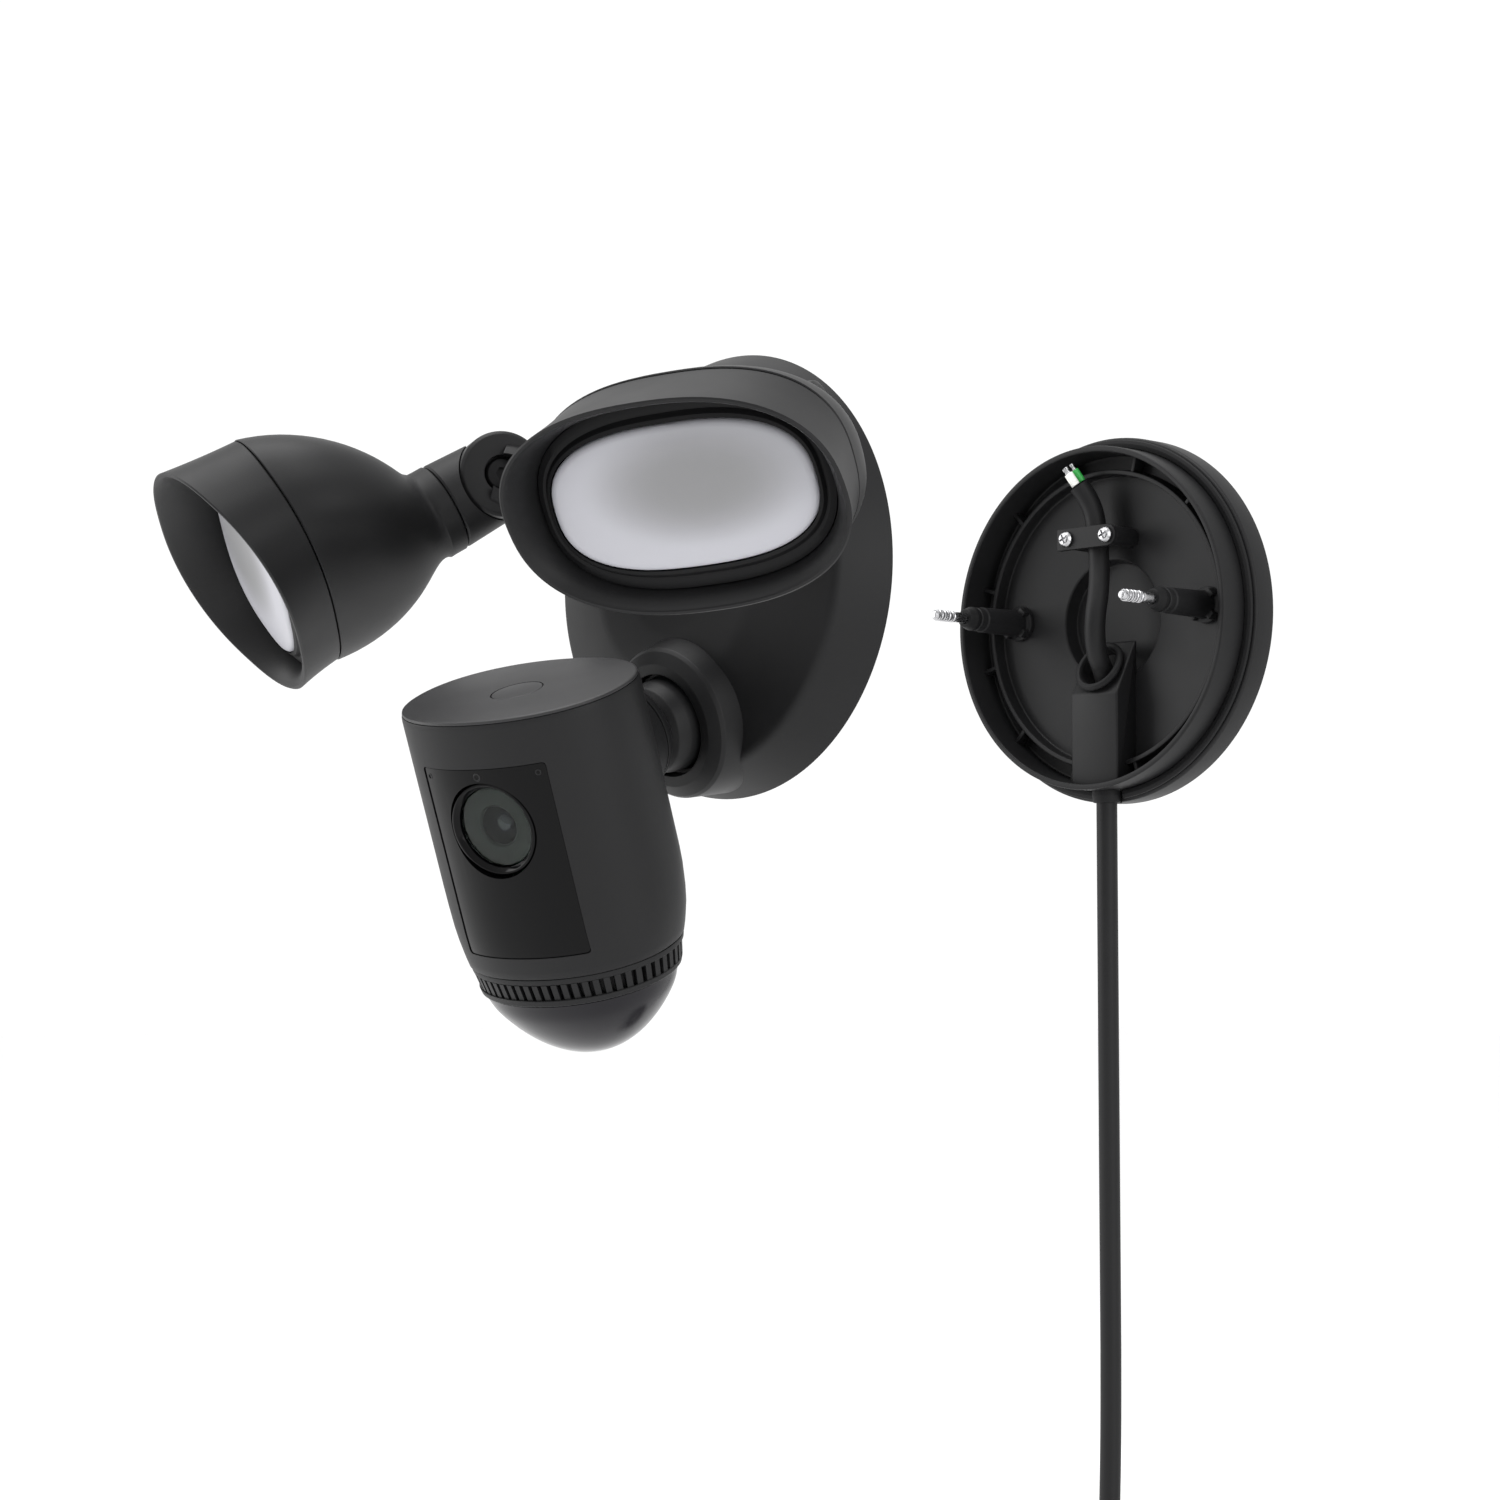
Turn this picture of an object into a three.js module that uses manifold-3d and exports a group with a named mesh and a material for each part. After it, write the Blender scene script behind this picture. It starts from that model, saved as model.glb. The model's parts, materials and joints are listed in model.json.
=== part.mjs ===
// Floodlight security camera: a wall plate with its power cord, and the fixture that slides onto the
// plate's two studs, carrying two lamp heads on jointed arms and a camera head on a ball joint.
// Millimetres, +Z up, -Y out of the wall towards the viewer, +X to the right seen from the front.
// The origin is the centre of the plate's wall face.
import * as THREE from "three";
import { mergeVertices } from "three/addons/utils/BufferGeometryUtils.js";
import Module from "manifold-3d";

const wasm = await Module();
wasm.setup();
const { PI, cos, sin, hypot } = Math;
const GAP = 0.3; // clearance between touching pieces

// ---- driving dimensions -------------------------------------------------------------------------
// Wall plate
const FLANGE_R = 66;
const FLANGE_DEPTH = 10;
const RING_R = 61.7;
const RING_DEPTH = 22.7;
const RING_WALL = 2.1;
const INNER_RING_R = 54;
const INNER_RING_DEPTH = 14;
const FLOOR_FRONT = 8.5;
const FLOOR_BACK = 5.5;
const RECESS_R = 22;
const RIB_COUNT = 12;
const CHANNEL_HALF = 10.7;
const CHANNEL_FRONT = 19;
const CHANNEL_TOP_Z = -27;
const CHANNEL_SLOPE_END_Z = -8;
// Power cord
const CORD_R = 3.75;
const CORD_Y = -12.2;
const CORD_EXIT_Z = -66;
const CORD_BEND_Z = -318;
const COIL_MEAN_R = 46;
const COIL_HALF_AXIAL = 15.6;
const COIL_HALF_RADIAL = 19.6;
// Clamp and studs
const CLAMP_Z = 29;
const CLAMP_SCREW_X = 9.2;
const STUD_X = 43.7;
const STUD_Z = 2;
const STUD_BOSS_R = 4.75;
const STUD_BOSS_END = 34.3;
const STUD_TIP = 56;
// Fixture base, measured forwards from its own back plane
const BASE_Y = -196.3;
const BASE_R = 71.4;
const CREASE_R = 63.9;
const CREASE_AT = 17;
const BASE_WALL = 2.5;
// Lamp arms and heads; angles in degrees
const PIVOT = [66.6, -240.4, 34.4];
const KNUCKLE_R = 14;
const KNUCKLE_HALF = 13;
const HEAD_YAW = 27.3;
const HEAD_PITCH = 31;
const HEAD_ROLL = { left: 28, right: 5.5 };
const LENS_AHEAD = 83.9;
const LENS_RISE = 14;
const LENS_HALF = [38.75, 21.15];
const RIM_HALF = [49.7, 33.9];
const RIM_AHEAD = 7.5;
const RIM_SLOPE = 0.2;
const SEAM_HALF = [46.6, 31.4];
const SEAM_BEHIND = 13.5;
const REAR_LENGTH = 45;
const REAR_DROP = 12.8;
const HEAD_WALL = 2.2;
// Camera head
const BALL = [0, -248.7, -56.2];
const BALL_R = 14;
const NECK_R = 7.2;
const BOSS_TILT = 17.2;
const BOSS_BEHIND = 26.3;
const BOSS_R = 24.1;
const BARREL_R = 13.5;
const CAMERA_YAW = 14.6;
const CAMERA_PITCH = 23.2;
const BALL_BEHIND = 38.2;
const BALL_BELOW = 31.2;
const BODY_HALF = [37.8, 29.7];
const BODY_WALL = 2.2;
const GRILLE_TOP = 81;
const GRILLE_BOTTOM = 90;
const DOME_APEX = 114.3;
const LENS_DOWN = 33.7;
const LENS_RING_R = 14.5;
const PANEL_TOP = 14.4;
const PANEL_BOTTOM = 74.1;
const PANEL_HALF = 22;

const rad = THREE.MathUtils.degToRad;

// ---- materials ------------------------------------------------------------------------------------
const finish = (color, roughness, metalness = 0) =>
  new THREE.MeshStandardMaterial({ color, roughness, metalness });
const charcoal = finish(0x2b2b2c, 0.62);
const satinTop = finish(0x3c3c3d, 0.5);
const glossBlack = finish(0x0b0b0c, 0.12);
const rubber = finish(0x1d1d1e, 0.8);
const diffuserWhite = finish(0xd9d9dc, 0.45);
const steel = finish(0xb9bbbd, 0.3, 1);
const brass = finish(0xc2a15a, 0.35, 1);
const aluminium = finish(0xa7a9ab, 0.4, 1);
const boardGreen = finish(0x1f5a35, 0.55);
const wireWhite = finish(0xe8e8e4, 0.5);
const wireGreen = finish(0x2e8f3a, 0.5);
const domeBlack = finish(0x17151c, 0.18);
const glass = finish(0x20262a, 0.05);

// ---- solids ---------------------------------------------------------------------------------------
// A closed geometry as a solid: shared corners are merged and collapsed triangles dropped.
function solid(geometry) {
  const bare = new THREE.BufferGeometry();
  bare.setAttribute("position", geometry.getAttribute("position").clone());
  if (geometry.index) bare.setIndex(geometry.index.clone());
  const merged = mergeVertices(bare, 1e-4);
  const corners = [];
  const index = merged.index.array;
  for (let i = 0; i < index.length; i += 3) {
    const [a, b, c] = [index[i], index[i + 1], index[i + 2]];
    if (a !== b && b !== c && c !== a) corners.push(a, b, c);
  }
  const build = (triVerts) =>
    new wasm.Manifold(
      new wasm.Mesh({
        numProp: 3,
        vertProperties: new Float32Array(merged.attributes.position.array),
        triVerts: new Uint32Array(triVerts),
      }),
    );
  const made = build(corners);
  if (made.volume() > 0) return made;
  return build(corners.reverse());
}

// The solid's surface as a geometry.
function surface(made) {
  const mesh = made.getMesh();
  const geometry = new THREE.BufferGeometry();
  geometry.setAttribute("position", new THREE.BufferAttribute(new Float32Array(mesh.vertProperties), 3));
  geometry.setIndex(new THREE.BufferAttribute(new Uint32Array(mesh.triVerts), 1));
  geometry.computeVertexNormals();
  return geometry;
}

const vec = (x, y, z) => new THREE.Vector3(x, y, z);
const join = (...solids) => solids.reduce((all, next) => all.add(next));
const cut = (body, ...tools) => tools.reduce((left, tool) => left.subtract(tool), body);

function box(x0, x1, y0, y1, z0, z1) {
  const geometry = new THREE.BoxGeometry(x1 - x0, y1 - y0, z1 - z0);
  return solid(geometry.translate((x0 + x1) / 2, (y0 + y1) / 2, (z0 + z1) / 2));
}

// A round bar, or a cone where the second radius differs, from one point to another.
function bar(from, to, radius, endRadius = radius, sides = 12) {
  const axis = vec(...to).sub(vec(...from));
  const geometry = new THREE.CylinderGeometry(endRadius, radius, axis.length(), sides);
  geometry.translate(0, axis.length() / 2, 0);
  geometry.applyQuaternion(new THREE.Quaternion().setFromUnitVectors(vec(0, 1, 0), axis.normalize()));
  return solid(geometry.translate(...from));
}

const BALL_SIDES = 16;
function ball(centre, radius) {
  const geometry = new THREE.SphereGeometry(radius, BALL_SIDES, BALL_SIDES / 2);
  return solid(geometry.translate(...centre));
}

// A ball whose flats, and not only its corners, reach the radius: for cutting a hollow.
const hollowBall = (centre, radius) => ball(centre, radius / cos(PI / BALL_SIDES) ** 2);

// A closed outline of [radius, forward] points turned about the Y axis; forward is towards -Y.
function turned(outline, sides = 28) {
  const points = outline.map(([r, forward]) => new THREE.Vector2(r, -forward));
  const closed = outline[0][0] > 0 || outline.at(-1)[0] > 0;
  if (closed) points.push(points[0].clone());
  return solid(new THREE.LatheGeometry(points, sides));
}

// An outline in X and Z pushed through from y0 to y1.
function plateShape(shape, y0, y1, segments = 16) {
  const geometry = new THREE.ExtrudeGeometry(shape, {
    depth: y1 - y0,
    bevelEnabled: false,
    curveSegments: segments,
  });
  geometry.rotateX(PI / 2);
  return solid(geometry.translate(0, y1, 0));
}

function slotShape(halfLength, radius) {
  const shape = new THREE.Shape();
  shape.absarc(halfLength, 0, radius, -PI / 2, PI / 2);
  shape.absarc(-halfLength, 0, radius, PI / 2, (3 * PI) / 2);
  shape.closePath();
  return shape;
}

// A round lead along a smooth curve through points.
function lead(points, radius, steps, sides = 8) {
  const section = new THREE.Shape();
  for (let i = 0; i < sides; i++) {
    const angle = (2 * PI * i) / sides;
    if (i === 0) section.moveTo(radius * cos(angle), radius * sin(angle));
    else section.lineTo(radius * cos(angle), radius * sin(angle));
  }
  section.closePath();
  const route = new THREE.CatmullRomCurve3(points.map((p) => vec(...p)), false, "centripetal");
  return solid(new THREE.ExtrudeGeometry(section, { steps, bevelEnabled: false, extrudePath: route }));
}

// A skin through rings of points, closed by a fan at each end.
function loft(rings) {
  const count = rings[0].length;
  const positions = rings.flat().flatMap((p) => [p.x, p.y, p.z]);
  const index = [];
  for (let r = 0; r + 1 < rings.length; r++) {
    for (let i = 0; i < count; i++) {
      const [a, b] = [r * count + i, r * count + ((i + 1) % count)];
      index.push(a, b, a + count, b, b + count, a + count);
    }
  }
  for (const end of [0, rings.length - 1]) {
    const middle = rings[end].reduce((sum, p) => sum.add(p), vec(0, 0, 0)).divideScalar(count);
    const hub = positions.length / 3;
    positions.push(middle.x, middle.y, middle.z);
    for (let i = 0; i < count; i++) {
      const [a, b] = [end * count + i, end * count + ((i + 1) % count)];
      index.push(...(end ? [a, b, hub] : [b, a, hub]));
    }
  }
  const geometry = new THREE.BufferGeometry();
  geometry.setAttribute("position", new THREE.Float32BufferAttribute(positions, 3));
  geometry.setIndex(index);
  return solid(geometry);
}

// Points round a squared-off ellipse, as [across, up].
function oval(halfWidth, halfHeight, power, count) {
  return Array.from({ length: count }, (_, i) => {
    const angle = (2 * PI * i) / count;
    const [c, s] = [cos(angle), sin(angle)];
    return [
      halfWidth * Math.sign(c) * Math.abs(c) ** (2 / power),
      halfHeight * Math.sign(s) * Math.abs(s) ** (2 / power),
    ];
  });
}

function piece(group, name, made, material) {
  const mesh = new THREE.Mesh(surface(made), material);
  mesh.name = name;
  group.add(mesh);
}

// ---- wall plate -------------------------------------------------------------------------------------
const object = new THREE.Group();
const wall = new THREE.Group();
object.add(wall);

const CHANNEL_WALL = 2;
const CHANNEL_SKIN = 1.2;
const HOLE_R = 8.6;
const slopeAngle = Math.atan2(CHANNEL_FRONT - FLOOR_FRONT, CHANNEL_SLOPE_END_Z - CHANNEL_TOP_Z);
const slopeOut = [0, -cos(slopeAngle), sin(slopeAngle)]; // the sloped top's outward normal
const holeCentre = [0, -14.2, -18];
const along = (point, direction, distance) => point.map((value, i) => value + direction[i] * distance);

// A block with the channel's side outline: upright, with a sloping top.
function channelBlock(half, back, front, bottomZ, drop) {
  const shape = new THREE.Shape();
  shape.moveTo(back, bottomZ);
  shape.lineTo(front, bottomZ);
  shape.lineTo(front, CHANNEL_TOP_Z - drop);
  shape.lineTo(FLOOR_FRONT, CHANNEL_SLOPE_END_Z - drop);
  shape.lineTo(back, CHANNEL_SLOPE_END_Z - drop);
  shape.closePath();
  const geometry = new THREE.ExtrudeGeometry(shape, { depth: 2 * half, bevelEnabled: false });
  // outline x is forward, outline y is up, depth runs across
  const basis = new THREE.Matrix4().makeBasis(vec(0, -1, 0), vec(0, 0, 1), vec(-1, 0, 0));
  return solid(geometry.applyMatrix4(basis).translate(half, 0, 0));
}

function wallPlate() {
  const dish = turned([
    [0, 0],
    [24.5, 0],
    [24.5, FLOOR_BACK],
    [62.5, FLOOR_BACK],
    [62.5, 0],
    [FLANGE_R, 0],
    [FLANGE_R, FLANGE_DEPTH],
    [RING_R, FLANGE_DEPTH],
    [RING_R, RING_DEPTH],
    [RING_R - RING_WALL, RING_DEPTH],
    [RING_R - RING_WALL, FLOOR_FRONT],
    [INNER_RING_R, FLOOR_FRONT],
    [INNER_RING_R, INNER_RING_DEPTH],
    [INNER_RING_R - 1.8, INNER_RING_DEPTH],
    [INNER_RING_R - 1.8, FLOOR_FRONT],
    [RECESS_R, FLOOR_FRONT],
    [RECESS_R, 3],
    [0, 3],
  ]);
  const ribs = Array.from({ length: RIB_COUNT }, (_, i) => {
    const rib = new THREE.BoxGeometry(RING_R - INNER_RING_R + 0.6, INNER_RING_DEPTH - FLOOR_FRONT + 0.5, 1.4);
    rib.translate((RING_R - RING_WALL + INNER_RING_R) / 2, -(INNER_RING_DEPTH + FLOOR_FRONT - 0.5) / 2, 0);
    return solid(rib.rotateY((2 * PI * (i + 0.5)) / RIB_COUNT));
  });
  const posts = [-CLAMP_SCREW_X, CLAMP_SCREW_X].map((x) =>
    bar([x, -FLOOR_FRONT + 1, CLAMP_Z], [x, -20.1, CLAMP_Z], 3.4),
  );
  const screwHoles = [-CLAMP_SCREW_X, CLAMP_SCREW_X].map((x) =>
    bar([x, -11, CLAMP_Z], [x, -30, CLAMP_Z], 1.7, 1.7, 10),
  );
  const studHoles = [-STUD_X, STUD_X].map((x) =>
    bar([x, 1, STUD_Z], [x, -12, STUD_Z], 3.1),
  );
  // the channel is open behind, where the plate covers it with the wall
  const channel = channelBlock(CHANNEL_HALF, FLOOR_FRONT - 1, CHANNEL_FRONT, -60.5, 0);
  const inside = CHANNEL_HALF - CHANNEL_WALL;
  const hollow = channelBlock(inside, FLOOR_BACK - 1, CHANNEL_FRONT - CHANNEL_SKIN, -60.8, 2);
  const leadHole = bar(along(holeCentre, slopeOut, -6), along(holeCentre, slopeOut, 8), HOLE_R);
  const cordHole = bar([0, CORD_Y, -70], [0, CORD_Y, -57], 5.6);
  return cut(join(dish, ...ribs, ...posts, channel), hollow, leadHole, cordHole, ...screwHoles, ...studHoles);
}
piece(wall, "wall_plate", wallPlate(), charcoal);

// The gasket is open at the bottom, for the cord.
const gasket = [
  [RING_R + GAP, FLANGE_DEPTH + GAP],
  [FLANGE_R - 1, FLANGE_DEPTH + GAP],
  [FLANGE_R - 1, FLANGE_DEPTH + 1.6],
  [RING_R + GAP, FLANGE_DEPTH + 1.6],
];
piece(wall, "rim_gasket", cut(turned(gasket), box(-7, 7, -14, -8, -70, -58)), rubber);

// Rubber grommet: a collar through the sloped hole with a rolled lip outside.
function grommet() {
  const outline = [
    [HOLE_R - 1, -2.4],
    [HOLE_R - GAP, -2.4],
    [HOLE_R - GAP, 1.2],
    [9.6, 1.2],
    [9.9, 2.2],
    [9.2, 3],
    [HOLE_R - 0.9, 3],
    [HOLE_R - 1, 2],
  ];
  const geometry = new THREE.LatheGeometry(
    [...outline, outline[0]].map(([r, height]) => new THREE.Vector2(r, height)),
    16,
  );
  geometry.applyQuaternion(new THREE.Quaternion().setFromUnitVectors(vec(0, 1, 0), vec(...slopeOut)));
  return solid(geometry.translate(...holeCentre));
}
piece(wall, "lead_grommet", grommet(), rubber);

// The lead inside the plate: up the channel, out of the grommet, under the clamp, to the terminals.
const LEAD_ROUTE = [
  [0, CORD_Y, -63.7],
  [0, CORD_Y, -48],
  [0, CORD_Y, -36],
  [0, -12.1, -28],
  [0, -12.4, -22.5],
  [0.2, -14.4, -17.6],
  [0.9, -17.9, -12.8],
  [2, -20.4, -6],
  [2.8, -20.9, 1],
  [2.8, -19.3, 9],
  [1.6, -17.3, 18],
  [0, -16.3, CLAMP_Z],
  [-1.5, -16.4, 38],
  [-3.4, -17.7, 44],
  [-5.4, -20, 48.6],
];
piece(wall, "inner_lead", lead(LEAD_ROUTE, CORD_R, 26), rubber);

// Three terminated wire ends that leave the lead's end, side by side.
const LEAD_END = LEAD_ROUTE.at(-1);
const leadAim = vec(...LEAD_END).sub(vec(...LEAD_ROUTE.at(-2))).normalize().toArray();
const TERMINALS = { terminal_live: wireWhite, terminal_neutral: wireWhite, terminal_earth: wireGreen };
const sideways = vec(...leadAim).cross(vec(0, 0, 1)).normalize();
Object.entries(TERMINALS).forEach(([name, material], i) => {
  const offset = sideways.clone().applyAxisAngle(vec(...leadAim), (2 * PI * i) / 3 + PI / 6);
  const root = along(along(LEAD_END, leadAim, GAP + 0.3), offset.toArray(), 1.85);
  const sleeve = bar(root, along(root, leadAim, 5), 1.3, 1.3, 10);
  const ferrule = bar(along(root, leadAim, 4.8), along(root, leadAim, 7.5), 0.8, 0.8, 8);
  piece(wall, name, join(sleeve, ferrule), material);
});

// Clamp bar with one squared end, and its two pan-head screws.
const CLAMP_BACK = 20.4;
const CLAMP_FRONT = 22.6;
function clampBar() {
  const shape = slotShape(CLAMP_SCREW_X, 3.9);
  const strap = plateShape(shape, -CLAMP_FRONT, -CLAMP_BACK, 10).translate([0, 0, CLAMP_Z]);
  const [left, half] = [-CLAMP_SCREW_X, 3.9];
  const square = box(left - 4.6, left, -CLAMP_FRONT, -CLAMP_BACK, CLAMP_Z - half, CLAMP_Z + half);
  const holes = [-CLAMP_SCREW_X, CLAMP_SCREW_X].map((x) =>
    bar([x, -18, CLAMP_Z], [x, -25, CLAMP_Z], 1.8),
  );
  return cut(join(strap, square), ...holes);
}
piece(wall, "clamp_bar", clampBar(), charcoal);

for (const [side, x] of [["left", -CLAMP_SCREW_X], ["right", CLAMP_SCREW_X]]) {
  const headBack = CLAMP_FRONT + GAP;
  const head = bar([x, -headBack, CLAMP_Z], [x, -headBack - 1.9, CLAMP_Z], 2.9, 2.3);
  const shank = bar([x, -12, CLAMP_Z], [x, -headBack - 0.2, CLAMP_Z], 1.35);
  const cross = [[1.7, 0.35], [0.35, 1.7]].map(([w, h]) =>
    box(x - w, x + w, -headBack - 3, -headBack - 0.9, CLAMP_Z - h, CLAMP_Z + h),
  );
  piece(wall, `clamp_screw_${side}`, cut(join(head, shank), ...cross), steel);
}

// Studs: a moulded sleeve snapped onto the floor, and the screw that runs through it.
for (const [side, x] of [["left", -STUD_X], ["right", STUD_X]]) {
  const at = (forward) => [x, -forward, STUD_Z];
  const root = FLOOR_FRONT + GAP;
  const sleeve = join(
    bar(at(root), at(STUD_BOSS_END), STUD_BOSS_R, STUD_BOSS_R - 0.3),
    bar(at(root), at(root + 1.8), 6.4, 6.2),
  );
  const tabs = [0, 1, 2, 3].map((turn) => {
    const tab = new THREE.BoxGeometry(2.2, 4.6, 3).translate(5.4, -root - 2.3, 0);
    return solid(tab.rotateY(PI / 4 + (turn * PI) / 2).translate(x, 0, STUD_Z));
  });
  const bore = bar(at(0), at(60), 2.4, 2.4);
  piece(wall, `stud_sleeve_${side}`, cut(join(sleeve, ...tabs), bore), charcoal);
  const collar = bar(at(STUD_BOSS_END + GAP), at(STUD_BOSS_END + 5.2), 4.3, 3.4);
  const rod = bar(at(1.2), at(STUD_TIP - 11), 1.9);
  const threaded = bar(at(STUD_TIP - 11.2), at(STUD_TIP - 0.6), 2.1);
  const tip = bar(at(STUD_TIP - 0.7), at(STUD_TIP), 2.1, 1.5);
  piece(wall, `stud_${side}`, join(collar, rod, threaded, tip), steel);
}

// Tapered bushing in the channel's mouth, where the cord leaves the plate.
function bushing() {
  const outline = [
    [CORD_R + 0.35, 0],
    [4.8, 0],
    [5.2, 3],
    [5.2, 9],
    [4.4, 24],
    [CORD_R + 0.35, 24],
  ];
  const geometry = new THREE.LatheGeometry(
    [...outline, outline[0]].map(([r, height]) => new THREE.Vector2(r, height)),
    16,
  );
  geometry.rotateX(PI / 2);
  return solid(geometry.translate(0, CORD_Y, CORD_EXIT_Z));
}
piece(wall, "cord_bushing", bushing(), rubber);

// ---- power cord ---------------------------------------------------------------------------------------
// It hangs straight down from the plate, then leans into the outer turn of a tied coil that hangs under it.
const COIL_OUT_R = COIL_MEAN_R + COIL_HALF_RADIAL;
const COIL_Y = CORD_Y - 5.2; // far enough forward for the coil to clear the wall
const COIL_Z = CORD_BEND_Z - 92;
const CORD_ROUTE = [
  [0, CORD_Y, -64],
  [0, CORD_Y, -85],
  [0, CORD_Y, -110],
  [0, CORD_Y, -135],
  [0, CORD_Y, -160],
  [0, CORD_Y, -185],
  [0, CORD_Y, -210],
  [0, CORD_Y, -235],
  [0, CORD_Y, -260],
  [0, CORD_Y - 0.3, -285],
  [0, CORD_Y - 0.9, -305],
  [0, CORD_Y - 1.6, CORD_BEND_Z],
  [-0.8, CORD_Y - 2.3, -325.6],
  [-3.6, CORD_Y - 3, -333.4],
  [-7.6, CORD_Y - 3.6, -339.2],
];
piece(wall, "power_cord", lead(CORD_ROUTE, CORD_R, 20), rubber);

const coilOutline = oval(COIL_HALF_RADIAL, COIL_HALF_AXIAL, 3, 8).map(([r, h]) => [COIL_MEAN_R + r, h]);
const coilGeometry = new THREE.LatheGeometry(
  [...coilOutline, coilOutline[0]].map(([r, h]) => new THREE.Vector2(r, h)),
  24,
);
piece(wall, "cord_coil", solid(coilGeometry.translate(0, COIL_Y, COIL_Z)), rubber);

// A strap round the coil's turns, at its upper right.
const TIE_ANGLE = rad(50);
function coilTie() {
  const [radial, axial] = [COIL_HALF_RADIAL + 0.9, COIL_HALF_AXIAL + 0.4];
  const outer = box(-5, 5, -axial - 1.2, axial + 1.2, -radial - 1.2, radial + 1.2);
  const inner = box(-8, 8, -axial, axial, -radial, radial);
  const strap = cut(outer, inner).translate([0, 0, COIL_MEAN_R]);
  return strap.rotate([0, (TIE_ANGLE * 180) / PI, 0]).translate([0, COIL_Y, COIL_Z]);
}
piece(wall, "coil_tie", coilTie(), rubber);

// The cord's other end leaves the outer turn at the left and hangs down to the plug.
const PLUG_X = -61.2;
const PLUG_Y = COIL_Y - 11.4;
const PLUG_TOP_Z = COIL_Z - 32;
function plugBody() {
  const sizes = [
    [0, 4.4, 4.4],
    [14, 5.6, 5.6],
    [15, 9, 8],
    [20, 12.5, 10.5],
    [34, 13, 11],
    [36, 12.2, 10.2],
  ];
  const rings = sizes.map(([down, w, d]) =>
    oval(w, d, 2.6, 18).map(([x, y]) => vec(PLUG_X + x, PLUG_Y + y, PLUG_TOP_Z - down)),
  );
  return loft(rings);
}
piece(wall, "plug_body", plugBody(), rubber);
const bladeTop = PLUG_TOP_Z - 36 - GAP;
for (const [name, side] of [["plug_blade_live", -6.35], ["plug_blade_neutral", 6.35]]) {
  const x = PLUG_X + side;
  piece(wall, name, box(x - 0.75, x + 0.75, PLUG_Y - 5.2, PLUG_Y + 1.2, bladeTop - 15.5, bladeTop), brass);
}
const pinTop = [PLUG_X, PLUG_Y + 6, bladeTop];
piece(wall, "plug_earth_pin", bar(pinTop, along(pinTop, [0, 0, -1], 19), 2.4, 2.3), brass);

// ---- fixture base ---------------------------------------------------------------------------------------
const fixture = new THREE.Group();
object.add(fixture);
const forwardFromBase = (x, forward, z) => [x, BASE_Y - forward, z];
const bossAxis = [0, -cos(rad(BOSS_TILT)), -sin(rad(BOSS_TILT))];
const onBoss = (distance) => along(BALL, bossAxis, distance);

// Arm frames: the tilt axis is level and square to the head's heading.
const SIDES = { left: -1, right: 1 };
function armFrame(side) {
  const sign = SIDES[side];
  const pivot = vec(sign * PIVOT[0], PIVOT[1], PIVOT[2]);
  const outward = vec(cos(rad(HEAD_YAW)), sign * sin(rad(HEAD_YAW)), 0).multiplyScalar(sign);
  const inner = pivot.clone().addScaledVector(outward, -(KNUCKLE_HALF + GAP) / 2);
  const root = vec(...forwardFromBase(sign * 35, 19, 23));
  const direction = inner.clone().sub(root).normalize();
  return { sign, pivot, outward, inner, root, direction };
}

const SOCKET_R = 15;
const ARM_R = 11.6;
const SPIGOT_R = 7;
const SOCKET_REACH = 7;
const STEM_R = 7;
const STUD_HOLE_R = 5.7;
function baseHousing() {
  const outer = [
    [0, 28],
    [36, 25.5],
    [CREASE_R, CREASE_AT],
    [BASE_R, 0],
  ];
  const shift = (r, forward) => [r, forward - BASE_Y];
  const shellOutline = outer.map(([r, forward]) => shift(r, forward));
  const innerOutline = outer.map(([r, forward]) => shift(Math.max(0, r - BASE_WALL), forward - BASE_WALL));
  innerOutline[innerOutline.length - 1] = shift(BASE_R - BASE_WALL, -1);
  const skin = turned([...shellOutline, shift(0, 0)]);
  const core = turned([...innerOutline, shift(0, -1)]);
  // what stands out of the skin, and the slim sleeves behind it that guide what turns or passes through
  const bosses = [
    bar(onBoss(-BOSS_BEHIND - 17), onBoss(-BOSS_BEHIND), BOSS_R + 3, BOSS_R, 20),
    bar(onBoss(-BOSS_BEHIND), onBoss(-BOSS_BEHIND + 3), BOSS_R, 19.5, 20),
  ];
  const sleeves = [bar(onBoss(-BOSS_BEHIND - 13), onBoss(-BOSS_BEHIND - 4), STEM_R + 3)];
  const bores = [
    bar(onBoss(-BOSS_BEHIND - 1.5), onBoss(-BOSS_BEHIND + 10), 16.4, 16.4, 20),
    bar(onBoss(-BOSS_BEHIND - 30), onBoss(0), STEM_R + GAP),
  ];
  for (const side of Object.keys(SIDES)) {
    const { root, direction, sign } = armFrame(side);
    const at = (distance) => root.clone().addScaledVector(direction, distance).toArray();
    bosses.push(bar(at(-6), at(SOCKET_REACH + 4), SOCKET_R + 2, SOCKET_R - 0.6, 16));
    sleeves.push(bar(at(-2), at(SOCKET_REACH), ARM_R + 2.6, ARM_R + 2.6, 16));
    sleeves.push(bar(at(-8), at(0), SPIGOT_R + 2.6));
    bores.push(bar(at(-20), at(20), SPIGOT_R + GAP));
    bores.push(bar(at(SOCKET_REACH), at(40), ARM_R + 0.4, ARM_R + 0.4, 16));
    const onStud = (forward) => forwardFromBase(sign * STUD_X, forward, STUD_Z);
    bosses.push(bar(onStud(19), onStud(26), 8, 7.4));
    sleeves.push(bar(onStud(15), onStud(21), 8));
    bores.push(bar(onStud(-4), onStud(40), STUD_HOLE_R));
  }
  return cut(join(cut(join(skin, ...bosses), core), ...sleeves), ...bores);
}
piece(fixture, "base_housing", baseHousing(), charcoal);

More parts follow.
